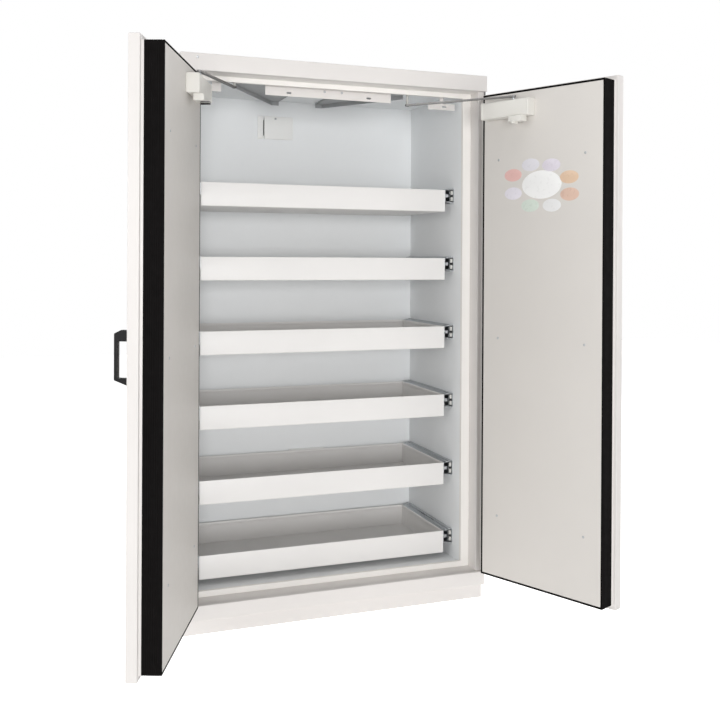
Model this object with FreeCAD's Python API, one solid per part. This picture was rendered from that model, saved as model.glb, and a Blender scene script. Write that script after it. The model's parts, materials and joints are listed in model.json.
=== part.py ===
import FreeCAD, Part
import math
import os

os.makedirs("parts", exist_ok=True)

# A two-door insulated safety cabinet with six pull-out trays, in millimetres.
# +X is to the right as seen from the front, the doors face -Y, and the floor is z = 0.
# The origin is the centre of the body's footprint.

# Body, outside and walls
body_width = 1140.0
body_height = 1950.0
body_depth = 615.0
casing_sheet = 1.5
side_wall = 60.0
roof_wall = 46.0
back_wall = 57.0
liner_board = 15.0
cut_overrun = 5.0

# Front frame and its rebate
rim_width = 27.0
rebate_depth = 60.0
frame_sheet = 2.0
frame_return = 14.0
frame_header_below_roof = 75.0
sill_height = 120.0
floor_below_sill = 8.0

# Fascia and plinth
fascia_height = 58.0
fascia_proud = 20.0
fascia_screw_inset = 57.0
fascia_screw_height = 44.0
ledge_height = 100.0
plinth_height = 50.0
plinth_setback = 14.0
plinth_side_setback = 5.0
plinth_sheet = 2.5
cross_member_width = 80.0

# Levelling feet
foot_pad_radius = 22.0
foot_pad_height = 8.0
foot_stem_radius = 6.0
foot_nut_radius = 11.0
foot_nut_height = 9.0
foot_inset_x = 70.0
foot_inset_y = 78.0

# Doors, sizes measured across the closed door
door_gap = 4.0
door_gap_to_rim = 7.0
skin_depth = 33.0
skin_sheet = 1.5
skin_clear_top = 14.0
skin_clear_bottom = 4.0
block_depth = 65.0
collar_depth = 8.0
block_from_hinge_side = 56.0
block_from_free_edge = 11.0
block_from_skin_end = 16.0
band_thickness = 2.5
band_lip = 7.0
band_lip_thickness = 2.0
panel_sheet = 1.5
panel_clear = 0.3
pivot_inset = 7.0
pivot_before_rim = 14.0
pin_radius = 3.0
pin_running_clearance = 0.05
bush_radius = 4.8
bush_length = 40.0
pin_in_door = 34.0
pin_collar_radius = 6.0
pin_head_radius = 4.4
pin_head_height = 3.0
thrust_clearance = 0.3
left_door_angle = 111.7
right_door_angle = 114.3

# Screws
screw_head_radius = 4.5
screw_head_height = 1.6
screw_shank_radius = 2.0
screw_shank_length = 14.0
screw_hole_clearance = 0.1
door_screw_from_hinge_side = 128.0
door_screw_from_free_edge = 84.0
door_screw_from_block_top = 240.0
door_screw_from_block_bottom = 224.0

# Pull handle on the left door
handle_from_free_edge = 33.0
handle_below_middle = 3.0
handle_length = 156.0
handle_projection = 42.0
handle_width = 20.0
handle_bar = 11.0
handle_upper_leg = 32.0
handle_lower_leg = 24.0
handle_top_slope_out = 20.0
handle_top_slope_height = 10.0
handle_foot_slope_height = 17.0

# Door closers: housing, the hold-open unit below it, and its lever
closer_from_hinge_side = 77.0
closer_length = 205.0
closer_projection = 41.5
closer_bottom_below_roof = 184.0
closer_height = 61.0
closer_wall = 2.5
closer_corner = 3.0
holder_from_hinge_side = 204.0
holder_length = 56.0
holder_height = 20.0
holder_from_panel = 17.5
holder_projection = 50.0
lever_width = 12.0
lever_thickness = 9.0
lever_reach = 16.0
damper_radius = 11.0
damper_length = 130.0

# Closer arms: where each one meets its door, and its place in the header track
arm_width = 12.0
arm_thickness = 6.0
arm_eye_radius = 8.5
arm_pin_radius = 3.0
arm_post_radius = 5.5
arm_pin_head_height = 1.8
arm_end_gap = 0.3
right_arm_from_hinge_side = 207.0
right_arm_before_panel = 22.0
right_arm_below_roof = 114.0
right_track_from_side = 280.0
left_arm_from_hinge_side = 120.0
left_arm_before_panel = 9.0
left_arm_below_roof = 91.0
left_track_from_side = 204.0
track_behind_rim = 83.0
track_width = 18.0
track_height = 20.0
track_lip = 4.0
track_sheet = 1.5
track_end_margin = 40.0
slider_length = 24.0
slider_clearance = 0.4

# Header plate, clip plate and baffles
plate_sheet = 1.5
header_plate_left = 252.0
header_plate_right = 228.0
header_plate_drop = 59.0
header_plate_behind_rim = 94.0
header_flange = 20.0
plate_slot_length = 18.0
plate_slot_height = 7.0
plate_slot_above_edge = 12.0
plate_slot_left_x = 165.0
plate_slot_right_x = 140.0
plate_screw_above_slot = 13.0
plate_screw_left_x = 31.0
plate_screw_right_x = 35.0
clip_from_wall = 14.0
clip_width = 111.0
clip_height = 24.0
clip_drop = 70.0
clip_behind_rim = 104.0
clip_slot_share = 0.6
clip_neck_share = 0.14
bracket_from_wall = 70.0
bracket_width = 32.0
bracket_drop = 57.0
bracket_behind_rim = 104.0
baffle_drop = 6.0
baffle_flange = 28.0
baffle_lip = 15.0
baffle_centre_x = -7.5
baffle_inner_half = 77.5
baffle_outer_half = 331.5
baffle_front_behind_rim = 120.0
baffle_corner_behind_rim = 208.0
baffle_rear_clear = 28.0

# Vents, ducts and roof spigots
vent_width = 146.0
vent_height = 92.0
vent_depth = 8.0
vent_sheet = 1.5
vent_window_share = 0.7
supply_x = -92.0
supply_vent_drop = 155.0
exhaust_x = 46.0
exhaust_vent_above_floor = 280.0
duct_width = 120.0
duct_depth = 30.0
duct_wall = 1.5
spigot_radius = 37.5
spigot_wall = 1.5
spigot_height = 50.0
spigot_flange_radius = 50.0
spigot_flange = 1.5
spigot_from_back = 55.0

# Trays and their telescopic slides
tray_count = 6
lowest_tray_above_sill = 14.5
top_tray_below_ceiling = 455.5
tray_side_gap = 38.0
tray_front_behind_rim = 132.0
tray_rear_clear = 16.0
tray_height = 84.0
tray_sheet = 2.0
slide_behind_tray_front = 2.0
slide_before_tray_rear = 8.0
slide_above_tray_bottom = 61.5
rail_half_height = 28.5
rail_sheet = 2.0
rail_lip = 18.0
member_clearance = 0.4
middle_web_from_wall = 16.0
middle_lip_out = 11.0
middle_lip_in = 12.0
runner_lip = 17.0

# Worked-out planes and edges
x_out = body_width / 2
x_in = x_out - side_wall
x_rim = x_out - rim_width
y_rim = -body_depth / 2
y_back = body_depth / 2
y_frame = y_rim + rebate_depth
y_fascia = y_rim - fascia_proud
y_liner_start = y_frame + frame_return
y_inner_back = y_back - back_wall
z_base = plinth_height + casing_sheet
z_under_roof = body_height - casing_sheet
z_ceiling = body_height - roof_wall
z_floor = sill_height - floor_below_sill
z_fascia = body_height - fascia_height
z_frame_header = body_height - frame_header_below_roof
z_skin_top = z_fascia - skin_clear_top
z_skin_bottom = ledge_height + skin_clear_bottom
z_block_top = z_skin_top - block_from_skin_end
z_block_bottom = z_skin_bottom + block_from_skin_end
y_skin = y_rim - door_gap_to_rim
x_pivot = x_out - pivot_inset
y_pivot = y_rim - pivot_before_rim
x_free = door_gap / 2
y_panel = y_skin + block_depth - band_lip_thickness + panel_sheet
track_y = y_rim + track_behind_rim
z_closer = body_height - closer_bottom_below_roof
z_header_plate = z_ceiling - header_plate_drop
z_clip = z_ceiling - clip_drop
x_clip = x_in - clip_from_wall - clip_width
z_supply_vent = z_ceiling - supply_vent_drop
z_exhaust_vent = z_floor + exhaust_vent_above_floor
y_tray = y_rim + tray_front_behind_rim
y_tray_rear = y_inner_back - tray_rear_clear
z_lowest_tray = sill_height + lowest_tray_above_sill
tray_pitch = (z_ceiling - top_tray_below_ceiling - z_lowest_tray) / (tray_count - 1)


print("tray pitch", round(tray_pitch, 2), "tray travel at most", round(y_tray_rear - y_tray, 1))


def box(x0, x1, y0, y1, z0, z1):
    corner = FreeCAD.Vector(min(x0, x1), min(y0, y1), min(z0, z1))
    return Part.makeBox(abs(x1 - x0), abs(y1 - y0), abs(z1 - z0), corner)


def rod(radius, x, y, z0, z1):
    return Part.makeCylinder(radius, z1 - z0, FreeCAD.Vector(x, y, z0))


def rod_along_y(radius, x, z, y0, y1):
    return Part.makeCylinder(radius, y1 - y0, FreeCAD.Vector(x, y0, z), FreeCAD.Vector(0, 1, 0))


def rod_along_x(radius, y, z, x0, x1):
    return Part.makeCylinder(radius, x1 - x0, FreeCAD.Vector(x0, y, z), FreeCAD.Vector(1, 0, 0))


def prism(points, z0, z1):
    wire = Part.makePolygon([FreeCAD.Vector(x, y, z0) for x, y in points + points[:1]])
    return Part.Face(wire).extrude(FreeCAD.Vector(0, 0, z1 - z0))


def joined(*shapes):
    return shapes[0].multiFuse(list(shapes[1:])).removeSplitter()


def mirrored(shape):
    return shape.mirror(FreeCAD.Vector(0, 0, 0), FreeCAD.Vector(1, 0, 0))


def slot(length, height, x, z, y0, y1):
    half = (length - height) / 2
    ends = [rod_along_y(height / 2, x + side * half, z, y0, y1) for side in (-1, 1)]
    return joined(box(x - half, x + half, y0, y1, z - height / 2, z + height / 2), *ends)


def save(name, shapes):
    shapes = shapes if isinstance(shapes, list) else [shapes]
    solids = [solid for shape in shapes for solid in shape.Solids]
    for solid in solids:
        if not solid.isValid():
            raise ValueError("invalid solid in " + name)
    whole = solids[0] if len(solids) == 1 else Part.makeCompound(solids)
    whole.exportStep("parts/" + name + ".step")
    print(name, len(solids), "solids", round(whole.Volume), "mm3")


# Outer casing: side sheets with a folded front rim, roof, back and base sheets
def casing_side():
    outer = box(x_out - casing_sheet, x_out, y_rim, y_back, z_base, z_under_roof)
    rim = box(x_rim, x_out, y_rim, y_rim + casing_sheet, z_base, z_under_roof)
    rim_return = box(x_rim, x_rim + casing_sheet, y_rim, y_frame, z_base, z_under_roof)
    return joined(outer, rim, rim_return)


def spigot_centres():
    return [(supply_x, y_back - spigot_from_back), (exhaust_x, y_back - spigot_from_back)]


def casing_top():
    sheet = box(-x_out, x_out, y_rim, y_back, z_under_roof, body_height)
    for x, y in spigot_centres():
        bore = spigot_radius - spigot_wall
        sheet = sheet.cut(rod(bore, x, y, z_under_roof - cut_overrun, body_height + cut_overrun))
    return sheet


def casing_back():
    inner = x_out - casing_sheet
    return box(-inner, inner, y_back - casing_sheet, y_back, z_base, z_under_roof)


def casing_base():
    return box(-x_out, x_out, y_rim, y_back, plinth_height, z_base)


# Insulation between casing and liners: two sides, back, roof, base, and the ring behind the frame
def insulation_side():
    x0 = x_in + liner_board
    x1 = x_out - casing_sheet
    y0 = y_frame + frame_sheet
    board = box(x0, x1, y0, y_back - casing_sheet, z_base, z_under_roof)
    rim_fill = box(x_rim + casing_sheet, x1, y_rim + casing_sheet, y0, z_base, z_under_roof)
    return joined(board, rim_fill)


def insulation_ring():
    x1 = x_in + liner_board
    y0 = y_frame + frame_sheet
    ring = box(-x1, x1, y0, y_liner_start, z_floor - liner_board, z_ceiling + liner_board)
    hole_x = x_in + frame_sheet
    return ring.cut(box(-hole_x, hole_x, y0 - cut_overrun, y_liner_start + cut_overrun,
                        sill_height - frame_sheet, z_frame_header + frame_sheet)).cut(frame_upstands())


def duct_body(x, z_bottom, wall):
    half = duct_width / 2 - wall
    y0 = y_inner_back + liner_board + wall
    y1 = y_inner_back + liner_board + duct_depth - wall
    return box(x - half, x + half, y0, y1, z_bottom + wall, z_under_roof)


def insulation_boards():
    x_board = x_in + liner_board
    y_board = y_inner_back + liner_board
    back = box(-x_board, x_board, y_board, y_back - casing_sheet, z_base, z_under_roof)
    back = back.cut(duct_body(supply_x, z_supply_vent, 0))
    back = back.cut(duct_body(exhaust_x, z_exhaust_vent, 0))
    roof_z = z_ceiling + liner_board
    roof = box(-x_board, x_board, y_frame + frame_sheet, y_board, roof_z, z_under_roof)
    header = box(-x_rim, x_rim, y_rim, y_frame + frame_sheet, z_fascia + casing_sheet, z_under_roof)
    roof = joined(roof, header)
    for x, y in spigot_centres():
        well = rod(spigot_radius, x, y, roof_z, z_under_roof)
        roof = roof.cut(well)
        back = back.cut(well)
    base = box(-x_board, x_board, y_frame + frame_sheet, y_board, z_base, z_floor - liner_board)
    under_ledge = box(-x_rim, x_rim, y_rim, y_frame + frame_sheet, z_base, ledge_height - casing_sheet)
    base = joined(base.cut(ledge_shelf()), under_ledge)
    side = insulation_side()
    return [side, mirrored(side), back, roof, base, insulation_ring().cut(ledge_shelf())]


# Inner liners
def liner_sides():
    y1 = y_inner_back + liner_board
    z0 = z_floor - liner_board
    side = box(x_in, x_in + liner_board, y_liner_start, y1, z0, z_ceiling + liner_board)
    return [side, mirrored(side)]


def vent_window(x, z_bottom):
    half = vent_width * vent_window_share / 2
    middle = z_bottom + vent_height / 2
    rise = vent_height * vent_window_share / 2
    y1 = y_inner_back + liner_board + cut_overrun
    return box(x - half, x + half, y_inner_back - cut_overrun, y1, middle - rise, middle + rise)


def liner_back():
    z0 = z_floor - liner_board
    board = box(-x_in, x_in, y_inner_back, y_inner_back + liner_board, z0, z_ceiling + liner_board)
    board = board.cut(vent_window(supply_x, z_supply_vent))
    return board.cut(vent_window(exhaust_x, z_exhaust_vent))


def liner_ceiling():
    return box(-x_in, x_in, y_liner_start, y_inner_back, z_ceiling, z_ceiling + liner_board)


def liner_floor():
    return box(-x_in, x_in, y_liner_start, y_inner_back, z_floor - liner_board, z_floor)


# White front frame: the ring that the door blocks close against, with a rebate shelf on top
def frame_upstands():
    y0 = y_liner_start - frame_sheet
    low = box(-x_in, x_in, y0, y_liner_start, z_floor - liner_board, sill_height)
    high = box(-x_in, x_in, y0, y_liner_start, z_frame_header, z_ceiling + liner_board)
    return low.fuse(high)


def front_frame():
    ring = box(-x_rim, x_rim, y_frame, y_frame + frame_sheet, ledge_height, z_fascia + casing_sheet)
    lip_x = x_in + frame_sheet
    lips = box(-lip_x, lip_x, y_frame, y_liner_start,
               sill_height - frame_sheet, z_frame_header + frame_sheet)
    opening = box(-x_in, x_in, y_frame - cut_overrun, y_liner_start + cut_overrun,
                  sill_height, z_frame_header)
    shelf = box(-x_rim, x_rim, y_rim, y_frame, z_fascia, z_fascia + casing_sheet)
    return joined(ring, lips, shelf, frame_upstands()).cut(opening)


# Top fascia, plinth ledge and recessed plinth
def folded_strip(z0, z1, y0, y1):
    s = casing_sheet
    outer = box(-x_out, x_out, y0, y1, z0, z1)
    return outer.cut(box(-x_out + s, x_out - s, y0 + s, y1 + cut_overrun, z0 + s, z1 - s))


def ledge_shelf():
    return box(-x_rim, x_rim, y_rim, y_frame + frame_sheet, ledge_height - casing_sheet, ledge_height)


def top_fascia():
    strip = folded_strip(z_fascia, body_height, y_fascia, y_rim)
    for x in (-x_pivot, x_pivot):
        strip = strip.cut(rod(pin_radius, x, y_pivot, z_fascia - cut_overrun, z_fascia + cut_overrun))
    return strip


def plinth_ledge():
    strip = folded_strip(plinth_height, ledge_height, y_fascia, y_rim)
    strip = joined(strip, ledge_shelf())
    for x in (-x_pivot, x_pivot):
        hole = rod(pin_radius, x, y_pivot, ledge_height - cut_overrun, ledge_height + cut_overrun)
        strip = strip.cut(hole)
    return strip


def plinth_base():
    x1 = x_out - plinth_side_setback
    y0 = y_fascia + plinth_setback
    y1 = y_back - plinth_side_setback
    t = plinth_sheet
    skirt = box(-x1, x1, y0, y1, 0, plinth_height)
    skirt = skirt.cut(box(-x1 + t, x1 - t, y0 + t, y1 - t, -cut_overrun, plinth_height + cut_overrun))
    half = cross_member_width / 2
    channel = box(-half, half, y0 + t, y1 - t, 0, plinth_height)
    channel = channel.cut(box(-half + t, half - t, y0, y1, t, plinth_height + cut_overrun))
    return joined(skirt, channel)


def levelling_feet():
    feet = []
    for sx in (-1, 1):
        for sy in (-1, 1):
            x = sx * (x_out - foot_inset_x)
            y = sy * (body_depth / 2 - foot_inset_y)
            pad = rod(foot_pad_radius, x, y, 0, foot_pad_height)
            stem = rod(foot_stem_radius, x, y, foot_pad_height, plinth_height)
            nut = rod(foot_nut_radius, x, y, plinth_height - foot_nut_height, plinth_height)
            feet.append(joined(pad, stem, nut))
    return feet


# Pivot pins, two for each door: the lower ones carry the door on a collar
def hinge_pins():
    pins = []
    for x in (-x_pivot, x_pivot):
        top = rod(pin_radius, x, y_pivot, z_skin_top - pin_in_door, z_fascia + casing_sheet)
        head_z = z_fascia + casing_sheet
        top_head = rod(pin_head_radius, x, y_pivot, head_z, head_z + pin_head_height)
        pins.append(joined(top, top_head))
        low_z = ledge_height - casing_sheet
        low = rod(pin_radius, x, y_pivot, low_z, z_skin_bottom + pin_in_door)
        collar = rod(pin_collar_radius, x, y_pivot, ledge_height, z_skin_bottom - thrust_clearance)
        pins.append(joined(low, collar))
    return pins


# Header fittings: hanging plate, clip plate, and the track that guides both closer arms
def header_plates():
    y0 = y_rim + header_plate_behind_rim
    y1 = y0 + plate_sheet
    face = box(-header_plate_left, header_plate_right, y0, y1, z_header_plate, z_ceiling)
    flange = box(-header_plate_left, header_plate_right, y0, y0 + header_flange,
                 z_ceiling - plate_sheet, z_ceiling)
    plate = joined(face, flange)
    slot_z = z_header_plate + plate_slot_above_edge
    for x in (-plate_slot_left_x, plate_slot_right_x):
        plate = plate.cut(slot(plate_slot_length, plate_slot_height, x, slot_z,
                               y0 - cut_overrun, y1 + cut_overrun))
    return [plate, clip_plate(), left_bracket(), header_track()]


def hung_strip(x0, x1, y0, z0):
    face = box(x0, x1, y0, y0 + plate_sheet, z0, z_ceiling)
    foot = box(x0, x1, y0, y0 + header_flange, z_ceiling - plate_sheet, z_ceiling)
    return joined(face, foot)


def clip_plate():
    y0 = y_rim + clip_behind_rim
    y1 = y0 + plate_sheet
    middle_x = x_clip + clip_width / 2
    neck_half = clip_width * clip_neck_share / 2
    neck = hung_strip(middle_x - neck_half, middle_x + neck_half, y0, z_clip)
    face = box(x_clip, x_clip + clip_width, y0, y1, z_clip, z_clip + clip_height)
    return joined(face, neck).cut(slot(plate_slot_length, plate_slot_height,
                                       x_clip + clip_width * clip_slot_share,
                                       z_clip + clip_height / 2, y0 - cut_overrun, y1 + cut_overrun))


def left_bracket():
    x0 = bracket_from_wall - x_in
    return hung_strip(x0, x0 + bracket_width, y_rim + bracket_behind_rim, z_ceiling - bracket_drop)


def header_track():
    x0 = left_track_from_side - x_out - track_end_margin
    x1 = x_out - right_track_from_side + track_end_margin
    half = track_width / 2
    t = track_sheet
    z0 = z_ceiling - track_height
    outer = box(x0, x1, track_y - half, track_y + half, z0, z_ceiling)
    bore = box(x0 - cut_overrun, x1 + cut_overrun, track_y - half + t, track_y + half - t,
               z0 + t, z_ceiling - t)
    mouth = box(x0 - cut_overrun, x1 + cut_overrun, track_y - half + track_lip,
                track_y + half - track_lip, z0 - cut_overrun, z0 + t + cut_overrun)
    return outer.cut(bore).cut(mouth)


# Two sheet baffles under the ceiling that lead the air to the rear, with a lip along the slant
def air_baffles():
    z0 = z_ceiling - baffle_drop
    z_lip = z0 - baffle_lip
    y_front = y_rim + baffle_front_behind_rim
    y_corner = y_rim + baffle_corner_behind_rim
    y_rear = y_inner_back - baffle_rear_clear
    baffles = []
    for side in (-1, 1):
        inner = baffle_centre_x + side * baffle_inner_half
        tip = inner + side * baffle_flange
        outer = baffle_centre_x + side * baffle_outer_half
        sheet = prism([(inner, y_front), (outer, y_front), (outer, y_corner), (tip, y_rear),
                       (inner, y_rear)], z0, z0 + plate_sheet)
        hanger = box(inner, inner + side * plate_sheet, y_front, y_rear, z0 - plate_sheet, z_ceiling)
        lip = prism([(outer, y_corner), (tip, y_rear), (tip, y_rear - plate_sheet),
                     (outer, y_corner - plate_sheet)], z_lip, z0)
        end = box(inner, tip, y_rear - plate_sheet, y_rear, z_lip, z0)
        baffles.append(joined(sheet, hanger, lip, end))
    return baffles


# Vent covers on the back liner, the two ducts behind it and their roof spigots
def vent_covers():
    covers = []
    for x, z in ((supply_x, z_supply_vent), (exhaust_x, z_exhaust_vent)):
        x0 = x - vent_width / 2
        x1 = x + vent_width / 2
        z1 = z + vent_height
        cover = box(x0, x1, y_inner_back - vent_depth, y_inner_back, z, z1)
        hollow = box(x0 + vent_sheet, x1 - vent_sheet, y_inner_back - vent_depth + vent_sheet,
                     y_inner_back + cut_overrun, z - cut_overrun, z1 - vent_sheet)
        covers.append(cover.cut(hollow))
    return covers


def air_ducts():
    pieces = []
    for x, z in ((supply_x, z_supply_vent), (exhaust_x, z_exhaust_vent)):
        duct = duct_body(x, z, 0).cut(duct_body(x, z, duct_wall))
        duct = duct.cut(vent_window(x, z))
        for sx, sy in spigot_centres():
            duct = duct.cut(rod(spigot_radius, sx, sy, z_ceiling + liner_board, z_under_roof))
        pieces.append(duct)
    return pieces


def roof_spigots():
    spigots = []
    for x, y in spigot_centres():
        tube = rod(spigot_radius, x, y, body_height, body_height + spigot_height)
        flange = rod(spigot_flange_radius, x, y, body_height, body_height + spigot_flange)
        bore = rod(spigot_radius - spigot_wall, x, y, body_height - cut_overrun,
                   body_height + spigot_height + cut_overrun)
        spigots.append(joined(tube, flange).cut(bore))
    return spigots


# Door pieces, drawn on the closed right-hand door
def door_screw_places():
    x0 = x_out - door_screw_from_hinge_side
    x1 = x_free + door_screw_from_free_edge
    z0 = z_block_bottom + door_screw_from_block_bottom
    z1 = z_block_top - door_screw_from_block_top
    heights = (z1, (z0 + z1) / 2, z0)
    return [(x, z) for z in heights for x in (x0, x1)]


def bush_spans():
    return [(z_skin_top - bush_length, z_skin_top), (z_skin_bottom, z_skin_bottom + bush_length)]


def block_edges():
    return (x_free + block_from_free_edge, x_out - block_from_hinge_side)


def block_ring(y0, y1):
    x0, x1 = block_edges()
    b = band_thickness
    ring = box(x0, x1, y0, y1, z_block_bottom, z_block_top)
    return ring.cut(box(x0 + b, x1 - b, y0 - cut_overrun, y1 + cut_overrun,
                        z_block_bottom + b, z_block_top - b))


def door_skin():
    s = skin_sheet
    x0, x1 = block_edges()
    shell = box(x_free, x_out, y_skin - skin_depth, y_skin, z_skin_bottom, z_skin_top)
    hollow = box(x_free + s, x_out - s, y_skin - skin_depth + s, y_skin - s,
                 z_skin_bottom + s, z_skin_top - s)
    mouth = box(x0, x1, y_skin - s - cut_overrun, y_skin + cut_overrun, z_block_bottom, z_block_top)
    skin = joined(shell.cut(hollow).cut(mouth), block_ring(y_skin - s, y_skin + collar_depth))
    for z0, z1 in bush_spans():
        skin = skin.cut(rod(bush_radius, x_pivot, y_pivot, z0, z1))
    return skin


def door_core():
    s = skin_sheet
    x0, x1 = block_edges()
    b = band_thickness
    fill = box(x_free + s, x_out - s, y_skin - skin_depth + s, y_skin - s,
               z_skin_bottom + s, z_skin_top - s)
    y_end = y_skin + block_depth - band_lip_thickness
    block = box(x0 + b, x1 - b, y_skin - s, y_end, z_block_bottom + b, z_block_top - b)
    core = joined(fill, block)
    for z0, z1 in bush_spans():
        core = core.cut(rod(bush_radius, x_pivot, y_pivot, z0, z1))
    for x, z in door_screw_places():
        core = core.cut(rod_along_y(screw_shank_radius + screw_hole_clearance, x, z,
                                    y_panel - screw_shank_length, y_end + cut_overrun))
    return core


def door_band():
    x0, x1 = block_edges()
    y_end = y_skin + block_depth
    edge = block_ring(y_skin + collar_depth, y_end)
    lip = box(x0, x1, y_end - band_lip_thickness, y_end, z_block_bottom, z_block_top)
    window = box(x0 + band_lip, x1 - band_lip, y_skin, y_end + cut_overrun,
                 z_block_bottom + band_lip, z_block_top - band_lip)
    return joined(edge, lip.cut(window))


def door_panel():
    x0, x1 = block_edges()
    e = band_lip + panel_clear
    sheet = box(x0 + e, x1 - e, y_panel - panel_sheet, y_panel, z_block_bottom + e, z_block_top - e)
    for x, z in door_screw_places():
        sheet = sheet.cut(rod_along_y(screw_shank_radius + screw_hole_clearance, x, z,
                                      y_panel - panel_sheet - cut_overrun, y_panel + cut_overrun))
    return sheet


def screw(x, z, y_face, direction):
    y_head = y_face + direction * screw_head_height
    y_tip = y_face - direction * (screw_shank_length - cut_overrun)
    head = rod_along_y(screw_head_radius, x, z, min(y_face, y_head), max(y_face, y_head))
    shank = rod_along_y(screw_shank_radius, x, z, min(y_face, y_tip), max(y_face, y_tip))
    return joined(head, shank)


def door_screws():
    return [screw(x, z, y_panel, 1) for x, z in door_screw_places()]


def door_bushes():
    bushes = []
    for z0, z1 in bush_spans():
        bush = rod(bush_radius, x_pivot, y_pivot, z0, z1)
        bore = rod(pin_radius + pin_running_clearance, x_pivot, y_pivot,
                   z0 - cut_overrun, z1 + cut_overrun)
        bushes.append(bush.cut(bore))
    return bushes


# Closer housing with its damper and arm spindle, and the hold-open unit under it
def arm_places(side):
    if side == "left":
        return (left_arm_from_hinge_side, left_arm_before_panel,
                body_height - left_arm_below_roof, x_out - left_track_from_side)
    return (right_arm_from_hinge_side, right_arm_before_panel,
            body_height - right_arm_below_roof, x_out - right_track_from_side)


def closer_housing(side):
    x1 = x_out - closer_from_hinge_side
    x0 = x1 - closer_length
    y1 = y_panel + closer_projection
    z0 = z_closer
    z1 = z0 + closer_height
    w = closer_wall
    housing = box(x0, x1, y_panel, y1, z0, z1)
    edges = [e for e in housing.Edges
             if e.BoundBox.YMax > y1 - closer_corner and e.BoundBox.YLength < closer_corner]
    housing = housing.makeFillet(closer_corner, edges)
    housing = housing.cut(box(x0 + w, x1 - w, y_panel - cut_overrun, y1 - w, z0 + w, z1 - w))
    from_side, before_panel, arm_z, track_x = arm_places(side)
    x = x_out - from_side
    y = y_panel + before_panel
    post = rod(arm_post_radius, x, y, z1 - w, arm_z - arm_end_gap)
    pin_top = arm_z + arm_thickness + arm_end_gap
    pin = rod(arm_pin_radius, x, y, z1, pin_top)
    head = rod(arm_post_radius, x, y, pin_top, pin_top + arm_pin_head_height)
    return joined(housing, post, pin, head)


def closer_damper():
    x_mid = x_out - closer_from_hinge_side - closer_length / 2
    y_mid = y_panel + (closer_projection - closer_wall) / 2
    z_mid = z_closer + closer_height / 2
    r = damper_radius
    cylinder = rod_along_x(r, y_mid, z_mid, x_mid - damper_length / 2, x_mid + damper_length / 2)
    return joined(cylinder, box(x_mid - r, x_mid + r, y_panel, y_mid, z_mid - r, z_mid + r))


def hold_open_unit():
    x1 = x_out - holder_from_hinge_side
    y_front = y_panel + holder_projection
    z0 = z_closer - holder_height
    holder = box(x1 - holder_length, x1, y_panel + holder_from_panel, y_front, z0, z_closer)
    x_mid = x1 - holder_length / 2
    lever = box(x_mid - lever_width / 2, x_mid + lever_width / 2, y_front - lever_reach,
                y_front + lever_reach, z0 - lever_thickness, z0)
    return [holder, lever]


def turned(point, centre, degrees):
    a = math.radians(degrees)
    dx = point[0] - centre[0]
    dy = point[1] - centre[1]
    return (centre[0] + dx * math.cos(a) - dy * math.sin(a),
            centre[1] + dx * math.sin(a) + dy * math.cos(a))


def arm_ends(side):
    from_side, before_panel, arm_z, track_x = arm_places(side)
    angle = left_door_angle if side == "left" else right_door_angle
    eye = (x_out - from_side, y_panel + before_panel)
    return turned(eye, (x_pivot, y_pivot), angle), (track_x, track_y)


# The arm at rest, drawn for the right-hand side, from its eye on the door to the header track
def closer_arm(side):
    eye, end = arm_ends(side)
    z0 = arm_places(side)[2]
    z1 = z0 + arm_thickness
    length = math.hypot(end[0] - eye[0], end[1] - eye[1])
    bar = box(0, length, -arm_width / 2, arm_width / 2, z0, z1)
    arm = joined(bar, rod(arm_eye_radius, 0, 0, z0, z1), rod(arm_eye_radius, length, 0, z0, z1))
    arm = arm.cut(rod(arm_pin_radius + pin_running_clearance, 0, 0, z0 - cut_overrun, z1 + cut_overrun))
    arm.rotate(FreeCAD.Vector(0, 0, 0), FreeCAD.Vector(0, 0, 1),
               math.degrees(math.atan2(end[1] - eye[1], end[0] - eye[0])))
    arm.translate(FreeCAD.Vector(eye[0], eye[1], 0))
    return arm


def closer_slider(side):
    from_side, before_panel, arm_z, x = arm_places(side)
    t = track_sheet
    c = slider_clearance
    half = track_width / 2 - t - c
    z0 = z_ceiling - track_height + t + c
    shoe = box(x - slider_length / 2, x + slider_length / 2, track_y - half, track_y + half,
               z0, z_ceiling - t - c)
    post_radius = track_width / 2 - track_lip - c
    return joined(shoe, rod(post_radius, x, track_y, arm_z + arm_thickness + arm_end_gap, z0))


# Black pull handle on the left door, drawn on the right-hand one
def door_handle():
    x = x_free + handle_from_free_edge
    y_face = y_skin - skin_depth
    y_out = y_face - handle_projection
    z0 = (z_skin_bottom + z_skin_top - handle_length) / 2 - handle_below_middle
    z1 = z0 + handle_length
    points = [(y_face, z0), (y_out, z0 + handle_foot_slope_height), (y_out, z1 - handle_top_slope_height),
              (y_out + handle_top_slope_out, z1), (y_face, z1),
              (y_face, z1 - handle_upper_leg), (y_out + handle_bar, z1 - handle_upper_leg),
              (y_out + handle_bar, z0 + handle_lower_leg), (y_face, z0 + handle_lower_leg)]
    x0 = x - handle_width / 2
    wire = Part.makePolygon([FreeCAD.Vector(x0, y, z) for y, z in points + points[:1]])
    return Part.Face(wire).extrude(FreeCAD.Vector(handle_width, 0, 0))


def at_rest(shape, side):
    angle = left_door_angle if side == "left" else right_door_angle
    copy = shape.copy()
    copy.rotate(FreeCAD.Vector(x_pivot, y_pivot, 0), FreeCAD.Vector(0, 0, 1), angle)
    return mirrored(copy) if side == "left" else copy


# Trays with their telescopic slides, pushed in
def tray_bottom(index):
    return z_lowest_tray + (tray_count - 1 - index) * tray_pitch


def tray_pan(z):
    x = x_in - tray_side_gap
    t = tray_sheet
    pan = box(-x, x, y_tray, y_tray_rear, z, z + tray_height)
    return pan.cut(box(-x + t, x - t, y_tray + t, y_tray_rear - t, z + t, z + tray_height + cut_overrun))


def slide_span():
    return y_tray + slide_behind_tray_front, y_tray_rear - slide_before_tray_rear


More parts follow.
